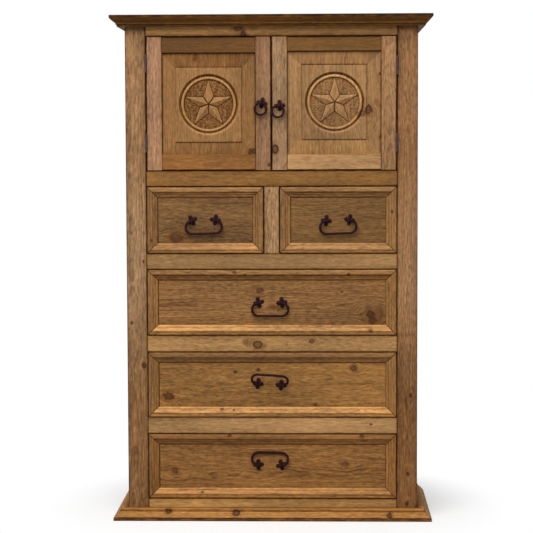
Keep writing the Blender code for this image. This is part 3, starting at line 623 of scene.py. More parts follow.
# Ledge and guide: where they begin across, and from where to where they stand above the drawer's sill
RUNNER_STRIPS = ((402 * MM, -LEDGE_TALL, 0), (415 * MM, 0, GUIDE_TALL))
DRAWER_ROWS = ("lower", "middle", "upper", "small_left")
RUNNER_SILLS = [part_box(f"{row}_drawer_box")[0].z - 0.3 * MM for row in DRAWER_ROWS]
RUNNER_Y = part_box("post_left")[1].y + 0.3 * MM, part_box("back_panel")[0].y - 0.3 * MM

for side, sign in (("left", -1), ("right", 1)):
    lo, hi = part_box(f"side_{side}")
    xs = sorted((sign * SIDE_INNER, sign * BODY_HALF))
    low, high = (xs[0], lo.y, 0.0), (xs[1], hi.y, hi.z)
    glued_up(f"side_{side}", low, high, 2, 1, 3, "waxed_pine", "zx", SIDE_PINE)
    finish = pine(f"runner_{side}", (0.43 * sign, 0, 0.5), "yx", PLAIN_PINE)
    strips = []
    for sill in RUNNER_SILLS:
        for number, (start, low, high) in enumerate(RUNNER_STRIPS):
            xs = sorted((sign * start, sign * SIDE_INNER))
            corners = (xs[0], RUNNER_Y[0], sill + low), (xs[1], RUNNER_Y[1], sill + high)
            strips.append(plank(f"runner_{side}_{sill:.2f}_{number}", *corners, 1, wave=0.05 * MM))
    put(f"{side}_runners", together(*strips), "carcass", "unfinished_pine", finish)

lo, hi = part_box("centre_runner")
sill = RUNNER_SILLS[3]
strips = [
    plank("centre_ledge", (lo.x, lo.y, sill - LEDGE_TALL), (hi.x, hi.y, sill), 1),
    plank("centre_guide", (-CENTRE_GUIDE, lo.y, sill), (CENTRE_GUIDE, hi.y, sill + GUIDE_TALL), 1),
]
finish = pine("centre_runner", (0, 0, sill), "yx", PLAIN_PINE)
put("centre_runner_strips", together(*strips), "carcass", "unfinished_pine", finish, "centre_runner")

for name, count in (("top_board", 3), ("bottom_board", 2), ("cabinet_floor", 3), ("door_stop", 1)):
    glued_up(name, *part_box(name), 0, 1, count, "unfinished_pine", "xz", PLAIN_PINE)

# %% [markdown]
# The back is six upright boards, rebated over each other so that no light comes through when they
# shrink: the section is two strips of half the thickness, one moved sideways against the other.

# %% The rebated back

BACK_PINE = (0.40, 0.25, 0.125)
BACK_BOARDS, LAP, REBATE_GAP = 6, 8 * MM, 1.2 * MM
lo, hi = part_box("back_panel")
half_y = (lo.y + hi.y) / 2
draw = luck("back")
edges = np.linspace(lo.x, hi.x, BACK_BOARDS + 1)
edges[1:-1] += draw.uniform(-9, 9, BACK_BOARDS - 1) * MM
for number in range(BACK_BOARDS):
    name = f"back_board_{number + 1}"
    rebated = number > 0, number < BACK_BOARDS - 1
    a, b = edges[number] + rebated[0] * REBATE_GAP / 2, edges[number + 1] - rebated[1] * REBATE_GAP / 2
    in_a, in_b = a + rebated[0] * LAP, b + rebated[1] * LAP
    section = [
        (a, half_y), (a, hi.y - MM), (a + MM, hi.y), (b - MM, hi.y), (b, hi.y - MM), (b, half_y),
        (in_b, half_y), (in_b, lo.y), (in_a, lo.y), (in_a, half_y),
    ]
    wax = np.array([0.6, 0.6, 0, 0, 0.6, 0.6, 0.3, 0, 0, 0.3])
    tone = draw.uniform(0.8, 1.1)
    finish = pine(name, ((a + b) / 2, hi.y, 0.85), "zy", [v * tone for v in BACK_PINE], b - a)
    shape = carried(name, section, lo.z, hi.z, (0, 0, 0), "+x+y+z", wax, wave=0.0)
    put(name, shape, "carcass", "unfinished_pine", finish, "back_panel", sharp=30)
print("sides, back and shelves done")

# %% [markdown]
# ## Doors
#
# A door is two full-height stiles with two rails between them, and a panel held in a groove so that it
# can shrink and swell. The groove is part of the section of each member, carried along its length.

# %% Stiles and rails with the groove for the panel

MEMBER, JOINT_GAP = 51.5 * MM, 0.15 * MM

# The joiner left the right door's top rail narrower than the rest
TOP_RAIL_TRIM = {"left": 0.0, "right": 4.5 * MM}

DOOR_TONES = {
    "left_hinge_stile": (0.294, 0.156, 0.083), "left_meeting_stile": (0.225, 0.118, 0.057),
    "left_door_top_rail": (0.098, 0.042, 0.009), "left_door_bottom_rail": (0.238, 0.099, 0.024),
    "right_hinge_stile": (0.290, 0.155, 0.067), "right_meeting_stile": (0.270, 0.158, 0.081),
    "right_door_top_rail": (0.140, 0.063, 0.014), "right_door_bottom_rail": (0.390, 0.214, 0.090),
}
DOOR_KNOTS = {
    "left_meeting_stile": [(-8.1, 1183.6, 5)],
    "right_meeting_stile": [(12, 1236, 12, 1.6), (4, 1272, 2.5)],
}


def member_section(thick, wide, low_side, seam):
    """(across, back from the front) for a member whose grooved edge lies at its width, or at zero.

    w and t are its width and thickness in millimetres, and seam is the share of old wax left along
    the grooved edge.
    """
    w, t = wide / MM, thick / MM
    section = np.array([
        (0, t), (0, 0.8), (0.8, 0), (1.8, 0), (4, 0), (w / 2, 0), (w - 4, 0), (w - 0.8, 0), (w, 0.8),
        (w, 9), (w - 8, 9), (w - 8, 15.6), (w, 15.6), (w, t),
    ]) * MM
    wax = np.array([0.6, 1.0, 1.0, 0.85, 0, 0, 0.1 * seam, 0.8 * seam, seam, seam, 1, 1, 0.3, 0.3])
    return (section if low_side else section * (-1, 1) + (wide, 0)), wax


for door in ("left", "right"):
    lo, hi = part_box(f"{door}_door_frame")
    low_stile, high_stile = ("hinge", "meeting") if door == "left" else ("meeting", "hinge")
    members = {
        f"{door}_{low_stile}_stile": (True, True, MEMBER, 1.0),
        f"{door}_{high_stile}_stile": (True, False, MEMBER, 1.0),
        f"{door}_door_bottom_rail": (False, True, MEMBER, 0.25),
        f"{door}_door_top_rail": (False, False, MEMBER - TOP_RAIL_TRIM[door], 0.4),
    }
    for name, (upright, low_side, wide, seam) in members.items():
        section, wax = member_section(hi.y - lo.y, wide, low_side, seam)
        middle, origin = (lo + hi) / 2, Vector((0, lo.y, 0))
        middle.y = lo.y
        k = 0 if upright else 2
        origin[k] = lo[k] if low_side else hi[k] - wide
        middle[k] = origin[k] + MEMBER / 2
        if upright:
            shape = carried(name, section, lo.z, hi.z, origin, "+x+y+z", wax)
            finish = pine(name, middle, "zy", DOOR_TONES[name], MEMBER, DOOR_KNOTS.get(name, ()))
        else:
            origin.y += JOINT_GAP
            ends = lo.x + MEMBER + JOINT_GAP, hi.x - MEMBER - JOINT_GAP
            shape = carried(name, section, *ends, origin, "+z+y+x", wax, end_wax=0.5)
            finish = pine(name, middle, "xy", DOOR_TONES[name], MEMBER, contrast=0.6, mottle=0.4)
        put(name, shape, f"{door}_door", "door_pine", finish, f"{door}_door_frame", sharp=30)
print("door frames: 4 stiles and 4 rails")

# %% [markdown]
# ## The carved panels
#
# Each panel is one board. Its field stands above a bevel on all four sides, and a sunken round in the
# field holds a five-point star inside a bead. It is one grid: the first parameter is the direction
# from the middle of the star, the second leads outwards, first over the star's facets to its outline,
# then over the ground, the bead and the groove, and at last in rectangles over the field, the step and
# the bevel into the groove of the frame. Each function below gives the rings of one stretch, each as
# (where it runs, how far back it lies, its wax). A carver's knife leaves a cut along each valley of
# the star and round its edges.

# %% The star

STAR_TIP, STAR_WAIST = 79.5 * MM, 28.5 * MM
PEAK, TIP, WAIST, GROUND = 2.3 * MM, 3.9 * MM, 7.5 * MM, 8.2 * MM


def star_edge(angle):
    """The turn from the nearest arm's axis in degrees, and the distance to the star's outline.

    By the rule of sines, a ray at that turn meets the straight edge from tip to waist there.
    """
    turn = (np.degrees(angle) - 90 + 36) % 72 - 36
    f, waist = np.radians(np.abs(turn)), np.radians(36)
    slant = STAR_TIP * np.sin(f) + STAR_WAIST * np.sin(waist - f)
    return turn, STAR_TIP * STAR_WAIST * math.sin(waist) / slant


def star_rings(angle, cleaned):
    """Depth goes from the peak to the edge in proportion to the way out, plus the knife's cut along
    the valleys, a bell curve of the distance from them, and a pit in the middle."""
    turn, edge_r = star_edge(angle)
    f, waist = np.radians(np.abs(turn)), np.radians(36)
    share = edge_r * np.sin(f) / (STAR_WAIST * math.sin(waist))
    edge_depth = TIP + (WAIST - TIP) * share
    faces_down = np.clip(-np.sign(turn) * np.cos(angle - np.radians(turn)), 0, 1)
    for t in [0.015, 0.03, 0.05, 0.08, *np.linspace(0.12, 0.98, 26), 0.995]:
        radius = t * edge_r
        cut = np.exp(-((radius * np.sin(waist - f) / (1.7 * MM)) ** 2)) * ramp(radius, 0, 4 * MM)
        ridge = np.exp(-((radius * np.sin(f) / (1.5 * MM)) ** 2))
        hollow = 0.35 * MM * np.sin(np.pi * np.clip(share, 0, 1)) * t
        pit = 0.8 * MM * math.exp(-((t / 0.035) ** 2))
        depth = PEAK + t * (edge_depth - PEAK) + 1.3 * MM * cut * (1 - 0.5 * t) + hollow + pit
        # The knife's cuts and the pit take dark wax, the ridges and the outline are brightened, and the
        # facets that face down get painted shade
        dirt_and_shade = 1.6 * cut - 0.3 * ramp(t, 0.93, 1.0) - 0.3 * ridge + 0.3 * faces_down
        dirt_and_shade = dirt_and_shade + 1.5 * math.exp(-((t / 0.06) ** 2))
        yield circle(angle) * radius[:, None], depth, np.clip(dirt_and_shade, -0.4, 1) - cleaned


# %% [markdown]
# The ground round the star is roughened with the point of a tool: each point of the grid takes its
# depth from a cell of a few millimetres and from a draw of its own. The bead is half a circle, and
# the groove outside it runs up to the field.

# %% The ground, the bead and the groove

GROUND_R, BEAD_R, GROOVE_R = 81.3 * MM, 91.3 * MM, 103 * MM
CELL = 3.3 * MM

# Radius and depth in millimetres, wax, and how much painted shade is added at the top and taken off
# at the bottom; below zero, on the outer rings, the value paints a highlight on the rim, brightest at
# the bottom
GROOVE_RINGS = (
    (92.0, 6.6, 0.8, 0.1), (93.4, 7.2, 0.75, 0.1), (95.2, 6.4, 0.65, 0.15), (96.8, 4.8, 0.4, 0.35),
    (98.6, 3.0, 0.05, 0.5), (99.8, 2.2, -0.25, 0.45), (100.8, 2.0, -0.35, 0.3), (103, 2.0, -0.15, 0.05),
)


def ground_rings(angle, draw, cleaned):
    """Three rings of the cut round the star, then rings spread evenly from there to the bead."""
    ray, edge_r = circle(angle), star_edge(angle)[1]
    widen = (GROUND_R - 0.2 * MM - edge_r) / (GROUND_R - STAR_WAIST)
    for out, depth, dirt_and_shade in ((0.35, 8.4, 1.0), (1.4, 8.8, 1.0), (3.4, 8.2, 0.85)):
        start = edge_r + np.minimum(out * MM, widen * 30 * MM)
        yield ray * start[:, None], depth * MM, dirt_and_shade
    lumps = draw.random((64, 64))
    shade = 0.6 + 0.4 * np.sin(angle)
    for t in np.linspace(0.04, 0.97, 26):
        stipple = draw.random(len(angle))
        radius = start + (GROUND_R - 0.3 * MM - start) * t
        cell = (ray * radius[:, None] / CELL + 32).astype(int)
        lump = lumps[cell[:, 0], cell[:, 1]]
        near_bead = ramp(radius, GROUND_R - 3.5 * MM, GROUND_R - 0.5 * MM) * shade
        dirt_and_shade = 0.12 + 0.62 * lump**1.5 + 0.35 * stipple**1.5 + 0.6 * near_bead
        depth = GROUND + (0.6 * lump + 0.4 * stipple - 0.5) * 1.1 * MM
        yield ray * radius[:, None], depth, np.clip(dirt_and_shade, 0, 1) - cleaned
    yield ray * (GROUND_R - 0.1 * MM), GROUND, shade


def bead_rings(angle, cleaned):
    """The bead is a cosine of the radius and a sine of the depth, the groove a list of rings."""
    ray = circle(angle)
    for turn in np.radians([0, 8, 20, 36, 54, 72, 90, 108, 126, 144, 160, 172, 180]):
        radius = (GROUND_R + BEAD_R) / 2 - (BEAD_R - GROUND_R) / 2 * math.cos(turn)
        uneven = 0.12 * MM * np.sin(23 * angle + 3 * turn)
        depth = 6.2 * MM - 3.6 * MM * math.sin(turn) + uneven * math.sin(turn)
        yield ray * radius, depth, 1.8 * abs(math.cos(turn)) ** 4 - 0.64 - 1.15 * cleaned
    for radius, depth, dirt_and_shade, above in GROOVE_RINGS:
        # Painted shade at the top of the groove and a painted highlight on its lower rim
        yield ray * radius * MM, depth * MM, dirt_and_shade + above * np.sin(angle)


# %% The field, the bevels and the whole panel

FIELD, BEVEL_TOP, BEVEL_FOOT, PANEL_BACK = 2.0 * MM, 4.5 * MM, 9.3 * MM, 15.3 * MM
TONGUE, BEVEL_WIDE = 7.5 * MM, 45.8 * MM


def field_rings(angle, box, half, inner, foot_at, star_at, field_at, step_wax, bevel_wax):
    """Each ring is the unit rectangle times a half size, moved to its middle. Rings over the field
    mix the groove's circle with the field's edge, and those over the bevels its top with its foot."""
    for t in np.linspace(0.12, 0.93, 5):
        flat = (1 - t) * (circle(angle) * GROOVE_R + star_at) + t * (box * inner + field_at)
        yield flat, FIELD + 0.1 * MM * np.sin(5 * angle + 9 * t), 0.0
    high, low = box[:, 1] > 0.999, box[:, 1] < -0.999
    step_wax = np.select([high, low, box[:, 0] < 0], step_wax[:3], step_wax[3])
    bevel_wax = np.select([high, low], bevel_wax[:2], bevel_wax[2])
    step = (
        (-0.9, FIELD + 0.05 * MM, 0.0), (-0.1, FIELD + 0.3 * MM, 0.25),
        (0.5, BEVEL_TOP - 0.3 * MM, 0.9), (0.8, BEVEL_TOP + 0.1 * MM, 1.0),
    )
    for out, depth, dirt_and_shade in step:
        yield box * (inner + out * MM) + field_at, depth, dirt_and_shade * step_wax
    # The foot of each bevel along the frame gets wax and painted shade, little at the bottom, where the
    # light reaches it
    for t in (0.05, 0.14, 0.3, 0.45, 0.6, 0.75, 0.88, 0.96, 0.985):
        more = 0.35 * step_wax if t < 0.1 else (np.where(low, 0.15, 0.9) if t > 0.97 else 0.0)
        outline = (1 - t) * (inner + 0.8 * MM) + t * (half + foot_at - 0.3 * MM)
        depth = BEVEL_TOP + (BEVEL_FOOT - BEVEL_TOP) * t + 0.14 * MM * np.sin(4 * angle + 7 * t)
        yield box * outline + (1 - t) * field_at + t * foot_at, depth, bevel_wax + more
    yield box * (half + TONGUE - 0.2 * MM), BEVEL_FOOT, np.where(low, 0.3, 1.0)
    yield box * (half + TONGUE), BEVEL_FOOT + 0.2 * MM, 1.0
    yield box * (half + TONGUE), PANEL_BACK, 0.3
    for t in (0.9, 0.5, 0.1):
        yield box * half * t, PANEL_BACK, 0.0


def carved_panel(name, lo, hi, trim, star_at, field_at, narrower, cleaned, step_wax, bevel_wax):
    """A door panel between its corners, with its depths counted back from the face of the chest."""
    star_at, field_at = np.array(star_at) * MM, np.array(field_at) * MM
    half = np.array([hi.x - lo.x, hi.z - lo.z]) / 2 - TONGUE
    field = half - BEVEL_WIDE
    corner = math.degrees(math.atan2(field[1], field[0]))
    corners = [corner, 180 - corner, 180 + corner, 360 - corner]
    keys = sorted([(90 + 36 * k) % 360 for k in range(10)] + corners)
    spans = np.diff(keys + [keys[0] + 360])
    counts = np.maximum(2, (spans * 1.15).astype(int))
    angle = [key + span * np.arange(n) / n for key, span, n in zip(keys, spans, counts)]
    angle = np.radians(np.concatenate(angle))
    ray = circle(angle)
    box = ray / np.max(np.abs(ray) / field, 1, keepdims=True) / field
    ground = ground_rings(angle, luck(name), cleaned)
    rings = [*star_rings(angle, cleaned), *ground, *bead_rings(angle, cleaned)]
    rings = [(flat + star_at, depth, dirt_and_shade) for flat, depth, dirt_and_shade in rings]
    inner, foot_at = field - (narrower * MM, 0), np.array([0, trim / 2])
    rings += field_rings(angle, box, half, inner, foot_at, star_at, field_at, step_wax, bevel_wax)
    flat = np.array([ring[0] for ring in rings])
    depth, wax = (np.array([np.broadcast_to(ring[k], len(angle)) for ring in rings]) for k in (1, 2))
    x, z = flat[..., 0] + (lo.x + hi.x) / 2, flat[..., 1] + (lo.z + hi.z) / 2
    return skin(np.stack([x, FACE_Y + depth, z], -1), wax)


# %% Two panels

# The carver set the star and the field a few millimetres off the middle, right and up, and one field
# is narrower. cleaned is how much less wax the carving has. Then come the wax and painted shade in the
# step round the field, above, below, left and right, and the stain on the upper bevel, the lower bevel
# and the two others; the upper and lower cut the ends of the grain and drink the stain, and the upper
# one also carries painted shade under the rail. Below zero they are brightened.
PANELS = {
    "left": (
        {"star_at": (-0.3, -1.5), "field_at": (0.0, -3.9), "narrower": 0.0, "cleaned": 0.0,
         "step_wax": (0.6, 1.0, 0.1, 0.5), "bevel_wax": (0.41, 0.18, 0.15)},
        {"colour": (0.245, 0.123, 0.042), "heart": (0.03, 0.035), "ring": 5.0 * MM, "contrast": 0.75,
         "knots": [(-250, 1538, 8, 0.6), (-70, 1227, 8, 0.9), (-63, 1229, 8, 0.9), (-56, 1226, 8)]},
    ),
    "right": (
        {"star_at": (1.8, 4.2), "field_at": (0.7, 3.6), "narrower": 2.3, "cleaned": 0.24,
         "step_wax": (1.0, 1.0, 0.6, 0.45), "bevel_wax": (0.22, -0.6, -0.16)},
        {"colour": (0.236, 0.126, 0.050), "heart": (-0.05, 0.03), "ring": 4.6 * MM, "contrast": 0.85,
         "knots": [(320, 1364, 12, 1.0), (312, 1355, 8, 0.8), (306, 1347, 7, 0.8), (334, 1384, 8, 0.3),
                   (356, 1483, 4), (356, 1277, 4)]},
    ),
}
for door, (carving, wood) in PANELS.items():
    name = f"{door}_door_panel"
    lo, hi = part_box(name)
    finish = pine(name, (lo + hi) / 2, "zy", mottle=0.5, **wood)
    shape = carved_panel(name, lo, hi, TOP_RAIL_TRIM[door], **carving)
    put(f"{door}_carved_panel", shape, f"{door}_door", "carved_pine", finish, name, sharp=28)
    print(name, len(shape[0]), "points")

# %% [markdown]
# ## Drawers
#
# The front of each drawer is a flat board with a moulding laid round its edge in four mitred lengths:
# a round over the outer part, a cut, and a low inner step. Old wax and painted shade fill the corner
# between the step and the board, more on the sides that face away from the light. On each side the
# step was planed a little differently.

# %% The moulding round a drawer's front

ROUND_OVER = [(0, 7.0), (1.5, 9.3), (7, 10.8), (13, 11.5), (15.5, 11.2), (20.5, 8.2), (25, 6.2)]
INNER_STEP = ((0, 5.6), (0.35, 4.8), (0.7, 3.4), (0.92, 1.9), (1, 0.5))
CUT = 26.0

# For each side, in from the edge: where the step ends, how wide the wax and painted shade in the
# corner are, where a painted dark line lies on the round as the shade of a narrow quirk, and how much
# wax and painted shade lie in the cut
STRIP_LOOKS = {
    "top": (34.6, 2.0, 19.0, 0.75), "bottom": (33.2, 0.4, 10.4, 0.15),
    "left": (34.6, 2.6, 18.6, 0.45), "right": (34.8, 1.4, 17.4, 0.5),
}


def drawer_moulding(step_end, seam, line, in_cut):
    """(in from the edge, up from the board) as a profile, its wax and painted shade, and which points lie
    on a slope.

    Each mark of wax and painted shade is a bell curve of the distance from where it lies.
    """
    step = [(CUT + 1 + share * (step_end - CUT - 1), up) for share, up in INNER_STEP]
    corner = [(step_end + 0.3, 0.2), (step_end + seam, 0.1), (step_end + seam, -0.2)]
    over = through(ROUND_OVER, 22).tolist()
    profile = np.array([(0.3, -0.2), (0, 0), *over, (CUT, 5.0), *through(step, 12).tolist(), *corner])
    into, up = profile.T
    marks = ((in_cut, CUT, 1.1), (0.9, 0, 1.3), (0.62, line, 1.5))
    wax = 0.95 * (up < 0.3) + sum(much * np.exp(-(((into - at) / wide) ** 2)) for much, at, wide in marks)
    on_slope = ((into > 14.5) & (into < CUT - 0.5)) | ((into > CUT + 1) & (up > 0.6))
    return profile * MM, np.clip(wax, 0, 1), on_slope


MOULDING = {side: drawer_moulding(*looks) for side, looks in STRIP_LOOKS.items()}
IN = {side: profile[:, 0] + 0.3 * MM for side, (profile, _, _) in MOULDING.items()}

# %% Five drawer fronts

PANEL_Y = FACE_Y + 6.5 * MM
FRONT_BACK_Y = PANEL_Y + 18 * MM
OUTER_EDGE = 9 * MM

# Colours of the board and of the moulding, heart of the board, tones and painted light of the strips,
# and knots on both. These are the tone of the top strip, painted shade on its inner slope (a painted
# highlight below zero), the painted highlight on the inner slope of the bottom strip, tones of the left
# and the right strip, and painted shade on the outer edge of the bottom strip (a highlight below zero)
DRAWERS = {
    "small_left": (
        (0.163, 0.082, 0.027), (0.287, 0.144, 0.051), (0.02, 0.03), (0.95, 0.20, 0.0, 0.76, 0.88, 0.16),
        [(-318, 942, 17, 0.8)], {"left": [(-400, 935, 4)]},
    ),
    "small_right": (
        (0.148, 0.074, 0.023), (0.289, 0.147, 0.052), (-0.04, 0.028), (0.92, 0.20, 0.0, 0.72, 0.76, 0.16),
        [], {"right": [(398, 1029, 4)]},
    ),
    "upper": (
        (0.230, 0.112, 0.036), (0.315, 0.155, 0.050), (0.012, 0.022), (1.0, 0.26, 0.65, 0.68, 0.84, -0.05),
        [(-40.6, 766, 9, 0.9), (3.5, 713, 8, 0.6), (233, 762, 3.5), (327, 687, 11, 1.0),
         (335, 677, 10, 1.0), (356, 680, 8, 0.1)],
        {"top": [(-125, 828, 3.5), (-89, 818, 3.5), (255, 821, 4)], "bottom": [(329, 634, 5)]},
    ),
    "middle": (
        (0.248, 0.120, 0.033), (0.300, 0.148, 0.048), (-0.02, 0.03), (0.78, -0.05, 0.7, 0.64, 0.78, -0.35),
        [(-347, 412, 14, 0.95), (-124, 494, 5), (-47, 500, 5), (272, 506, 9, 0.7), (144, 383, 5)],
        {"bottom": [(-168, 369, 4), (-128, 367, 3)]},
    ),
    "lower": (
        (0.244, 0.113, 0.031), (0.300, 0.138, 0.040), (0.03, 0.026), (0.71, -0.06, 0.66, 0.72, 0.9, -0.45),
        [(-328, 159, 9, 0.7), (-45, 166, 5), (243, 184, 9, 0.6), (11, 100, 3)],
        {"top": [(-142, 281, 5.5, 1.0), (299, 280, 5.5, 1.0)], "bottom": [(-235, 89, 4)]},
    ),
}

for drawer, (board_colour, strip_colour, heart, wear, knots, strip_knots) in DRAWERS.items():
    node_name, body = f"{drawer}_drawer_front", f"{drawer}_drawer"
    lo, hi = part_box(node_name)
    middle = (lo + hi) / 2
    middle.y = PANEL_Y
    wood = {"knots": knots, "contrast": 1.15, "heart": heart, "mottle": 0.8}
    finish = pine(node_name, middle, "xy", board_colour, **wood)
    shape = plank(node_name, (lo.x, PANEL_Y, lo.z), (hi.x, FRONT_BACK_Y, hi.z), 0)
    put(node_name + "_board", shape, body, "drawer_front_pine", finish, node_name)
    half_x, half_z = (hi.x - lo.x) / 2, (hi.z - lo.z) / 2
    along_x = IN["left"] - half_x, half_x - IN["right"]
    along_z = IN["bottom"] - half_z, half_z - IN["top"]
    top_tone, slope_shading, bottom_slope_highlight, left_tone, right_tone, outer_edge_shading = wear
    # The side strips' inner slopes are painted brighter: painted highlight
    strips = {
        "top": (along_x, "xy", (middle.x, PANEL_Y, hi.z), "-z-y+x", top_tone, slope_shading, 0),
        "bottom": (along_x, "xy", (middle.x, PANEL_Y, lo.z), "+z-y+x", 1.08, -bottom_slope_highlight, outer_edge_shading),
        "left": (along_z, "zy", (lo.x, PANEL_Y, middle.z), "+x-y+z", left_tone, -0.28, 0),
        "right": (along_z, "zy", (hi.x, PANEL_Y, middle.z), "-x-y+z", right_tone, -0.15, 0),
    }
    for side, (reach, lie, edge, axes, tone, slope_shading, outer_edge_shading) in strips.items():
        name = f"{drawer}_moulding_{side}"
        tone *= luck(name).uniform(0.92, 1.08)
        colour = [v * tone for v in strip_colour]
        finish = pine(name, edge, lie, colour, 0.04, strip_knots.get(side, ()), contrast=0.85)
        profile, wax, on_slope = MOULDING[side]
        # Painted shade above zero and painted highlight below zero, on the inner slope and on the bottom
        # strip's outer edge, join the wax here
        wax = wax + slope_shading * on_slope + outer_edge_shading * (profile[:, 0] < OUTER_EDGE)
        shape = carried(name, profile, *reach, edge, axes, wax, end_wax=1.15)
        put(name, shape, body, "drawer_front_pine", finish, node_name, sharp=32)
print("drawer fronts:", len(DRAWERS))

# %% [markdown]
# Behind the front is a plain box: two sides and a back, and a bottom let into grooves in the sides.
# The sides are one section with its groove and its rounded top, carried from front to back.

# %% Drawer boxes

# How thick a side is, where its groove for the bottom lies, and the gap left round the boards
BOX_SIDE, GROOVE_X, GROOVE_FOOT, GROOVE_TOP, BOX_GAP = 12 * MM, 7 * MM, 10 * MM, 16 * MM, 0.1 * MM

for drawer in DRAWERS:
    node_name = f"{drawer}_drawer_box"
    lo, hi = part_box(node_name)
    back = hi.y - BOX_SIDE
    top = (hi.z - lo.z) / MM
    section = np.array([
        (0, 0.4), (0.4, 0), (11.6, 0), (12, 0.4), (12, 10), (7, 10), (7, 16), (12, 16), (12, top - 1.5),
        (11, top - 0.4), (9, top), (3, top), (1, top - 0.4), (0, top - 1.5),
    ]) * MM
    sides = together(*(
        carried(drawer, section, lo.y, hi.y, (x, 0, lo.z), axes, wave=0.0)
        for x, axes in ((lo.x, "+x+z+y"), (hi.x, "-x+z+y"))
    ))
    low = (lo.x + BOX_SIDE + BOX_GAP, back, lo.z + 2 * MM)
    high = (hi.x - BOX_SIDE - BOX_GAP, hi.y, hi.z - 2 * MM)
    back_board = plank(drawer + "back", low, high, 0)
    low = (lo.x + GROOVE_X + 2 * BOX_GAP, lo.y + 2 * MM, lo.z + GROOVE_FOOT + BOX_GAP)
    high = (hi.x - GROOVE_X - 2 * BOX_GAP, back - BOX_GAP, lo.z + GROOVE_TOP - BOX_GAP)
    bottom = plank(drawer + "bottom", low, high, 0, ease=0.4 * MM)
    boards = {
        "sides": (sides, (lo.x, 0, lo.z + 0.1), "yx", 0.2, 30),
        "back": (back_board, (0, hi.y, lo.z + 0.1), "xy", 0.2, 35),
        "bottom": (bottom, (0, 0, lo.z), "xz", 0.4, 35),
    }
    tone = luck(drawer).uniform(0.88, 1.05)
    wood = [v * tone for v in PLAIN_PINE]
    for kind, (shape, middle, lie, width, sharp) in boards.items():
        name = f"{drawer}_box_{kind}"
        finish = pine(name, middle, lie, wood, width)
        put(name, shape, f"{drawer}_drawer", "unfinished_pine", finish, node_name, sharp=sharp)
print("drawer boxes:", len(DRAWERS))

# %% [markdown]
# ## Iron
#
# The pulls are forged, then blackened. Iron scale is rough and never one colour: it goes from a cold
# black to a rusty brown, and hands polish the high places. The steel of the hinges is duller and
# greyer. Both use one node group, so they stay alike, with their own colours put in.

# %% Blackened iron and dull steel


def make_metal_group():
    """Three sizes of even noise: patches of rust, dents whose high places are bright, and grit."""
    tree, given, result = shared(
        "forged_metal",
        {"Vector": ["Vector"], "Color": ["Scale Colour", "Rust", "Bright"]},
        {"Color": ["Color"], "Float": ["Roughness", "Height"]},
    )
    patches = noise(given["Vector"], (90, 90, 90), 3.0, 0.6)
    dents = noise(given["Vector"], (330, 330, 330))
    grit = noise(given["Vector"], (1500, 1500, 1500))
    colour = blended(eased(patches, 0.45, 0.68), given["Scale Colour"], given["Rust"])
    colour = blended(eased(dents, 0.58, 0.78, 0.0, 0.5), colour, given["Bright"])
    rough = times(grit, 0.15, times(patches, 0.3, 0.4))
    feed(tree, result, Color=colour, Roughness=rough, Height=times(grit, 0.25, dents))
    return tree


METAL = make_metal_group()


def metal(name, scale_colour, rust, bright, metallic):
    """A forged finish: the group feeds colour, roughness and height, and the shader the rest."""
    made, tree, place = blank(name)
    colours = {"Scale_Colour": (*scale_colour, 1), "Rust": (*rust, 1), "Bright": (*bright, 1)}
    look = node(tree, "Group", {"node_tree": METAL}, Vector=place, **colours)
    dress(
        tree, look.outputs, 0.5, 0.4 * MM, Metallic=metallic, Specular_IOR_Level=0.1,
        Specular_Tint=(1.0, 0.6, 0.75, 1.0),
    )
    return made


IRON = metal("blackened_iron", (0.012, 0.004, 0.006), (0.035, 0.010, 0.008), (0.035, 0.016, 0.018), 0.0)
STEEL = metal("dull_hinge_steel", (0.060, 0.050, 0.072), (0.050, 0.036, 0.042), (0.11, 0.10, 0.12), 0.2)

# %% [markdown]
# ## Ring and bail pulls
#
# A pull hangs in the eye of a split pin that goes through a four-petal plate and through the wood,
# where its two legs are bent flat. The plate is a height over a flat outline, in directions and
# shares of the way out. The bars are circles carried along a bent line, a little thicker and thinner
# along it, as a hammer leaves them.

# %% Bars


def bar(path, radius, loop=False, sides=14):
    """A round bar: circles of a given radius at each point of a path, square to the path's direction.

    The first spoke of each circle is the path's direction crossed with the path plane's normal.
    """
    path = np.asarray(path, float)
    along = np.roll(path, -1, 0) - np.roll(path, 1, 0) if loop else np.gradient(path, axis=0)
    along /= np.linalg.norm(along, axis=1, keepdims=True)
    plane = np.linalg.svd(path - path.mean(0))[2][2]
    first = np.cross(along, plane)
    first /= np.linalg.norm(first, axis=1, keepdims=True)
    second = np.cross(along, first)
    angle = np.linspace(0, 2 * np.pi, sides, endpoint=False)[None, :, None]
    radius = np.broadcast_to(radius, len(path))[:, None, None]
    spokes = first[:, None] * np.cos(angle) + second[:, None] * np.sin(angle)
    return skin(path[:, None] + radius * spokes, loop=loop)


def arc_line(centre, radius, start, end, count):
    """Points on a circle in XZ, with angles in degrees from +X towards +Z."""
    angle = np.radians(np.linspace(start, end, count))
    x, z = np.transpose(centre + radius * circle(angle))
    return np.stack([x, 0 * angle, z], -1)


def hammered(name, count, radius, loop=False):
    """A bar's radius along its length: a slow sum of three sines with whole turns."""
    phase = luck(name).uniform(0, 6.28, 3)
    t = np.linspace(0, 2 * np.pi, count, endpoint=not loop)
    swell = np.sin(3 * t + phase[0]) + np.sin(7 * t + phase[1]) + 0.5 * np.sin(13 * t + phase[2])
    return radius * (0.97 + 0.012 * swell)


# %% Plates, eyes and legs

PETAL_TIP = 19.5
PETAL_TURNS = [0, 3, 8, 15, 24, 33, 40, 45]
PETAL_REACH = [PETAL_TIP, 18.8, 18.2, 17.3, 15.7, 13.0, 10.3, 8.8]

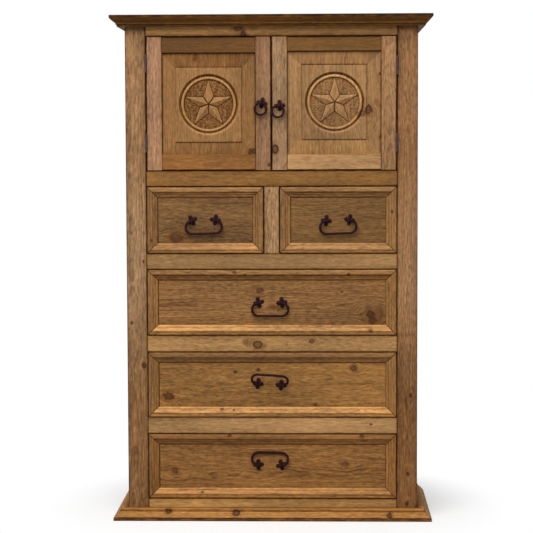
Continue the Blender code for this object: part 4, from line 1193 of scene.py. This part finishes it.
# How far the eye's centre stands off the wood, how thick its wire is, how loose the pull is in it,
# and how far below the eye's centre the pull comes to rest
EYE_OUT, EYE_WIRE, EYE_PLAY, EYE_DROP = 12 * MM, 1.6 * MM, 1.2 * MM, 0.9 * MM

# A leg of the pin: sideways, behind the wood, and its radius, in millimetres
LEG = np.array([
    (0.7, -2, 1.0), (0.9, 0.5, 1.0), (2.2, 1.5, 1.1), (4.5, 1.6, 1.2), (9, 1.3, 1.0), (13, 0.9, 0.5),
])


def petal_plate(name):
    """Four pointed petals, as rings from the middle to the outline.

    The outline's radius falls from a petal's point to the notch. The height is that of the edge plus
    a share that falls with a power of the way out and towards the notches.
    """
    angle = np.radians(np.arange(0, 360, 3.0))
    fold = np.abs((np.degrees(angle) + 45) % 90 - 45)
    outline = np.interp(fold, PETAL_TURNS, PETAL_REACH) * MM
    crest = (1 - fold / 45) ** 0.8
    uneven = luck(name).uniform(-0.5, 0.5, 4)
    outline = outline * (1 + 0.02 * np.sin(angle + uneven[0]) + 0.015 * np.sin(2 * angle + uneven[1]))
    outline = np.minimum(outline, PETAL_TIP * MM)
    ray = np.stack([np.cos(angle), 0 * angle, np.sin(angle)], -1)
    rings = []
    for t in (0.03, 0.1, 0.2, 0.3, 0.42, 0.55, 0.68, 0.8, 0.9, 0.96, 1.0):
        boss = 1.0 * MM * math.exp(-((t / 0.2) ** 4))
        height = 1.0 * MM + 2.2 * MM * (1 - t**2.4) * (0.35 + 0.65 * crest) + boss
        rings.append(ray * (outline * t)[:, None] + np.stack([0 * height, -height, 0 * height], -1))
    rings.append(ray * outline[:, None] + np.array([0, -0.5 * MM, 0]))
    rings.append(ray * (outline - 0.4 * MM)[:, None])
    return skin(np.array(rings))


def face_turn(degrees):
    """A turn on the face of the wood, counterclockwise to someone in front of it."""
    return Matrix.Rotation(-math.radians(degrees), 4, "Y")


def rosette(name, place, plate_turn, eye_turn, pull_radius, wood):
    """A plate, its eye and the pin's two legs, bent out flat behind the wood."""
    eye_radius = pull_radius + EYE_PLAY + EYE_WIRE
    line = arc_line((0, 0), eye_radius, 90, 450, 33)[:-1]
    line = np.stack([line[:, 1], line[:, 0] - EYE_OUT, line[:, 2]], -1)
    pin = [
        bar(line, EYE_WIRE, loop=True, sides=12),
        bar([(0, y, 0) for y in np.linspace(eye_radius - EYE_OUT, wood + 1.6 * MM, 6)], 1.9 * MM),
    ]
    for side in (-1, 1):
        bend = np.stack([side * LEG[:, 0] * MM, wood + LEG[:, 1] * MM, 0 * LEG[:, 0]], -1)
        pin.append(bar(bend, LEG[:, 2] * MM, sides=8))
    seat = Matrix.Translation(place)
    plate = moved(petal_plate(name), seat @ face_turn(plate_turn))
    return together(plate, *(moved(shape, seat @ face_turn(eye_turn)) for shape in pin))


def hanging(place, tilt, swing=0.0):
    """The matrix of a pull that hangs in its eye: it rests on the hole's lower edge."""
    at = place + face_turn(tilt).to_3x3() @ Vector((0, -EYE_OUT, -EYE_DROP))
    return Matrix.Translation(at) @ face_turn(tilt) @ Matrix.Rotation(-math.radians(swing), 4, "X")


# %% Two rings in their places

RING_BAR, RING_RADIUS = 3.9 * MM, 19.2 * MM

# The plate's place, from the chest's middle line and up from the door's middle, its turn, and the
# ring's lean
DOOR_PULLS = {"left": (31.0, 1.5, -12, -12.5), "right": (27.5, -7.0, 3, -17.0)}
RING_PATH = arc_line((0, -RING_RADIUS), RING_RADIUS, 90, 450, 73)[:-1]
for door, (from_edge, rise, turn, lean) in DOOR_PULLS.items():
    sign = -1 if door == "left" else 1
    lo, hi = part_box(f"{door}_door_frame")
    place = Vector((sign * from_edge * MM, lo.y - 0.3 * MM, (lo.z + hi.z) / 2 + rise * MM))
    name = f"{door}_door_rosette"
    shape = rosette(name, place, turn, lean, RING_BAR, hi.y - lo.y + 0.3 * MM)
    put(f"{door}_door_plate", shape, f"{door}_door", "dark_iron", IRON, name, sharp=40)
    name = f"{door}_door_ring"
    ring = bar(RING_PATH, hammered(name, len(RING_PATH), RING_BAR, True), loop=True)
    put(name + "_bar", moved(ring, hanging(place, lean)), name, "dark_iron", IRON, name, sharp=50)
print("rings:", len(DOOR_PULLS))

# %% Five bails in their places

BAIL_BAR, BAIL_BEND, BAIL_DROP, BAIL_HALF = 4.2 * MM, 21.5 * MM, 43 * MM, 38.5 * MM
EYES_HALF = 38.6 * MM

# Middle right and up from the front's middle, tilt, turns of the two plates, swing up from hanging
DRAWER_PULLS = {
    "small_left": (-5.0, -0.5, 1.5, (30, -10), 0), "small_right": (-1.2, -1.0, 2.2, (-4, -11), 0),
    "upper": (-5.8, -1.0, 0.0, (15, 6), 0), "middle": (-8.6, 0.5, -3.9, (-8, -5), 146),
    "lower": (-8.5, 3.8, -1.2, (0, 14), 189),
}
BAIL_PATH = np.concatenate([
    [(-31.5 * MM, 0, 0), (-35.0 * MM, 0, 0)],
    arc_line((-BAIL_HALF, -BAIL_BEND), BAIL_BEND, 90, 270, 26),
    [(x * MM, 0, -BAIL_DROP) for x in np.linspace(-34.5, 34.5, 19)],
    arc_line((BAIL_HALF, -BAIL_BEND), BAIL_BEND, -90, 90, 26),
    [(35.0 * MM, 0, 0), (31.5 * MM, 0, 0)],
])
for drawer, (x, z, tilt, turns, swing) in DRAWER_PULLS.items():
    lo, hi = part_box(f"{drawer}_drawer_front")
    face = Vector(((lo.x + hi.x) / 2 + x * MM, PANEL_Y - 0.3 * MM, (lo.z + hi.z) / 2 + z * MM))
    for end, across, turn in (("left", -EYES_HALF, turns[0]), ("right", EYES_HALF, turns[1])):
        place = face + face_turn(tilt).to_3x3() @ Vector((across, 0, 0))
        name = f"{drawer}_drawer_rosette_{end}"
        shape = rosette(name, place, turn, tilt, BAIL_BAR, FRONT_BACK_Y - face.y)
        put(f"{drawer}_plate_{end}", shape, f"{drawer}_drawer", "dark_iron", IRON, name, sharp=40)
    name = f"{drawer}_drawer_bail"
    thick = hammered(name, len(BAIL_PATH), BAIL_BAR)
    thick[[0, -1]] *= 0.7
    bail = moved(bar(BAIL_PATH, thick), hanging(face, tilt, swing))
    put(name + "_bar", bail, name, "dark_iron", IRON, name, sharp=50)
print("bails:", len(DRAWER_PULLS))

# %% [markdown]
# ## Butt hinges
#
# Each hinge is two thin leaves with knuckles that take turns round a pin. The leaves are sunk between
# the door and the post, so only the knuckles show when the door is shut. They are turned shapes: a
# profile of radii and heights swept round the pin. Opened, the leaves show three countersunk screws.

# %% Knuckles, pins and screws


def turned(profile, place, sides=24):
    """A solid of revolution: (radius, height) points swept round an upright axis through a place."""
    radius, height = np.array(profile).T[:, :, None]
    angle = np.linspace(0, 2 * np.pi, sides, endpoint=False)
    rings = [radius * np.cos(angle), radius * np.sin(angle), height + 0 * angle]
    return skin(np.stack(rings, -1) + np.array(place))


def barrel(radius, low, high, place):
    """A knuckle or a pin: a cylinder with its ends rounded by a fifth of a millimetre."""
    ease = 0.2 * MM
    profile = [(radius - ease, low), (radius, low + ease), (radius, high - ease), (radius - ease, high)]
    return turned(profile, place)


def screw_head(place, sign, angle):
    """A flat head with a slot: its height over a round is a little more outside the slot than in it."""
    turn = np.linspace(0, 2 * np.pi, 40, endpoint=False)
    radius = np.array([0.1, 0.6, 1.2, 1.8, 2.4, 2.9, 3.1, 3.1])[:, None] * MM
    across = np.abs(radius * np.sin(turn + angle))
    height = 0.14 * MM - 0.10 * MM * np.exp(-((across / (0.45 * MM)) ** 4))
    height[-2:] = np.array([[0.02], [-0.3]]) * MM
    rings = [sign * height, radius * np.cos(turn), radius * np.sin(turn)]
    return skin(np.stack(rings, -1) + np.array(place))


# %% Four hinges

HINGE_X, HINGE_Y = 414.4 * MM, FACE_Y - 3.5 * MM
LEAF, LEAF_START, LEAF_END, LEAF_PLAY = 1.1 * MM, 3.8 * MM, 21.5 * MM, 0.2 * MM
KNUCKLE, KNUCKLE_ARM, KNUCKLE_GAP, PIN, END_PLAY = 3.1 * MM, 4.2 * MM, 0.15 * MM, 1.2 * MM, 0.3 * MM
SCREWS = ((-0.33, 15 * MM), (0.0, 12 * MM), (0.33, 15 * MM))
PIN_CAP = np.array([(2.3, 1.0), (2.3, 0.25), (1.3, 0.02)]) * MM
for door, sign in (("left", -1), ("right", 1)):
    for level in ("upper", "lower"):
        hinge = f"{door}_{level}_hinge"
        lo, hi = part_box(f"{hinge}_post_leaf")
        z = (lo.z + hi.z) / 2
        half, third = (hi.z - lo.z) / 2, (hi.z - lo.z) / 6
        short = half - END_PLAY
        axis = (sign * HINGE_X, HINGE_Y, z)
        ends = ((-half, -third - KNUCKLE_GAP), (third + KNUCKLE_GAP, half))
        middle = ((-third + KNUCKLE_GAP, third - KNUCKLE_GAP),)
        leaves = (("post", sign, ends, "carcass"), ("door", -sign, middle, f"{door}_door"))
        for kind, side, spans, body in leaves:
            face_x = axis[0] + side * LEAF_PLAY
            inner, outer = sorted((face_x, axis[0] + side * (LEAF_PLAY + LEAF)))
            low = (inner, HINGE_Y + LEAF_START, z - short)
            high = (outer, HINGE_Y + LEAF_END, z + short)
            shapes = [plank(hinge, low, high, 2, ease=0.25 * MM, wave=0.0)]
            for bottom, top in spans:
                low = (inner, HINGE_Y, z + bottom + END_PLAY)
                high = (outer, HINGE_Y + KNUCKLE_ARM, z + top - END_PLAY)
                shapes.append(barrel(KNUCKLE, bottom, top, axis))
                shapes.append(plank(hinge, low, high, 2, ease=0.2 * MM, wave=0.0))
            if kind == "post":
                shapes.append(barrel(PIN, -short, short, axis))
                for end in (-1, 1):
                    shapes.append(turned([(radius, end * (half - down)) for radius, down in PIN_CAP], axis))
            slot_turn = luck(hinge + kind).uniform(0, 3)
            for rise, back in SCREWS:
                at = (face_x, HINGE_Y + back, z + rise * 2 * half)
                shapes.append(screw_head(at, -side, slot_turn))
            leaf = f"{hinge}_{kind}_leaf"
            put(f"{hinge}_{kind}_half", together(*shapes), body, "dull_steel", STEEL, leaf, sharp=30)
print("hinges: 4")

# %% [markdown]
# ## Light, floor and camera
#
# The chest stood in soft light from above and in front, a little from the left. One wide lamp gives
# that, and an even pale world fills the shadows. The floor is pale and stays plain. The camera sees
# the world and the far floor as pure white, by the Light Path node, without more light on the chest.
# The lens and the place come from the lines of the chest's front in the picture.

# %% Floor and world

WHITE = (1, 1, 1, 1)
FLOOR_REACH, FLOOR_Z = 12.0, -0.5 * MM
LIT_FLOOR, DIM_FLOOR = (0.93, 0.93, 0.93, 1), (0.42, 0.41, 0.40, 1)


def sharp_rays(tree):
    """1 for the rays that see the background itself: those of the camera, of gloss and of glass."""
    seen = node(tree, "LightPath").outputs
    through_gloss = maths("MAXIMUM", seen["Is Glossy Ray"], seen["Is Transmission Ray"])
    return maths("MAXIMUM", seen["Is Camera Ray"], through_gloss)


def mixed(share, first, second):
    """Two shaders mixed by a share."""
    return outputs_of("MixShader", {}, share, first, second)[0]


# A flat pale square: diffuse under the chest, fading to plain white for the camera far out
corners = [(x * FLOOR_REACH, y * FLOOR_REACH, FLOOR_Z) for x, y in ((-1, -1), (1, -1), (1, 1), (-1, 1))]
mesh = bpy.data.meshes.new("floor")
mesh.from_pydata(corners, [], [(0, 1, 2, 3)])
material, tree, place = blank("pale_floor")
tree.nodes.remove(tree.nodes["Principled BSDF"])
far = eased(vectors("LENGTH", place), 0.50, 0.85, 0.45)
lit = node(tree, "BsdfDiffuse", Color=LIT_FLOOR).outputs[0]
dim = node(tree, "BsdfDiffuse", Color=DIM_FLOOR).outputs[0]
white = node(tree, "Emission", Color=WHITE, Strength=1.0).outputs[0]
shown = mixed(sharp_rays(tree), dim, mixed(far, lit, white))
feed(tree, tree.nodes["Material Output"].inputs, Surface=shown)
mesh.materials.append(material)
floor = linked("floor", mesh)

world = bpy.data.worlds.new("studio")
bpy.context.scene.world = world
world.use_nodes = True
tree = world.node_tree
fill = node(tree, "Background", Color=WHITE, Strength=0.29).outputs[0]
backdrop = node(tree, "Background", Color=WHITE, Strength=1.0).outputs[0]
feed(tree, tree.nodes["World Output"].inputs, Surface=mixed(sharp_rays(tree), fill, backdrop))

# %% One wide lamp

LAMP_AT, LAMP_AIM = Vector((-0.7, -3.1, 4.3)), Vector((0, 0, 0.85))
light = bpy.data.lights.new("key", "AREA")
light.size = 3.8
light.energy = 284
lamp = linked("key", light)
lamp.location = LAMP_AT
lamp.rotation_euler = (LAMP_AIM - LAMP_AT).to_track_quat("-Z", "Y").to_euler()

# %% Camera

EYE = (0.1585, -5.9674, 1.2577)
LENS_PIXELS, PICTURE, SENSOR = 1741.67, 533, 36.0
TURNS = ((1.7486, "Z"), (-4.0709, "X"), (0.1954, "Y"))

camera = bpy.data.cameras.new("camera")
camera.sensor_fit = "HORIZONTAL"
camera.sensor_width = SENSOR
camera.lens = LENS_PIXELS / PICTURE * SENSOR
yaw, pitch, roll = (Matrix.Rotation(math.radians(angle), 3, axis) for angle, axis in TURNS)
right, forward, up = (yaw @ pitch @ roll).col
axes = Matrix((right, up, -forward)).transposed().to_4x4()
viewer = linked("camera", camera)
viewer.matrix_world = Matrix.Translation(EYE) @ axes
bpy.context.scene.camera = viewer
bpy.context.scene.view_settings.view_transform = "Standard"
print("lens:", round(camera.lens, 2), "mm")
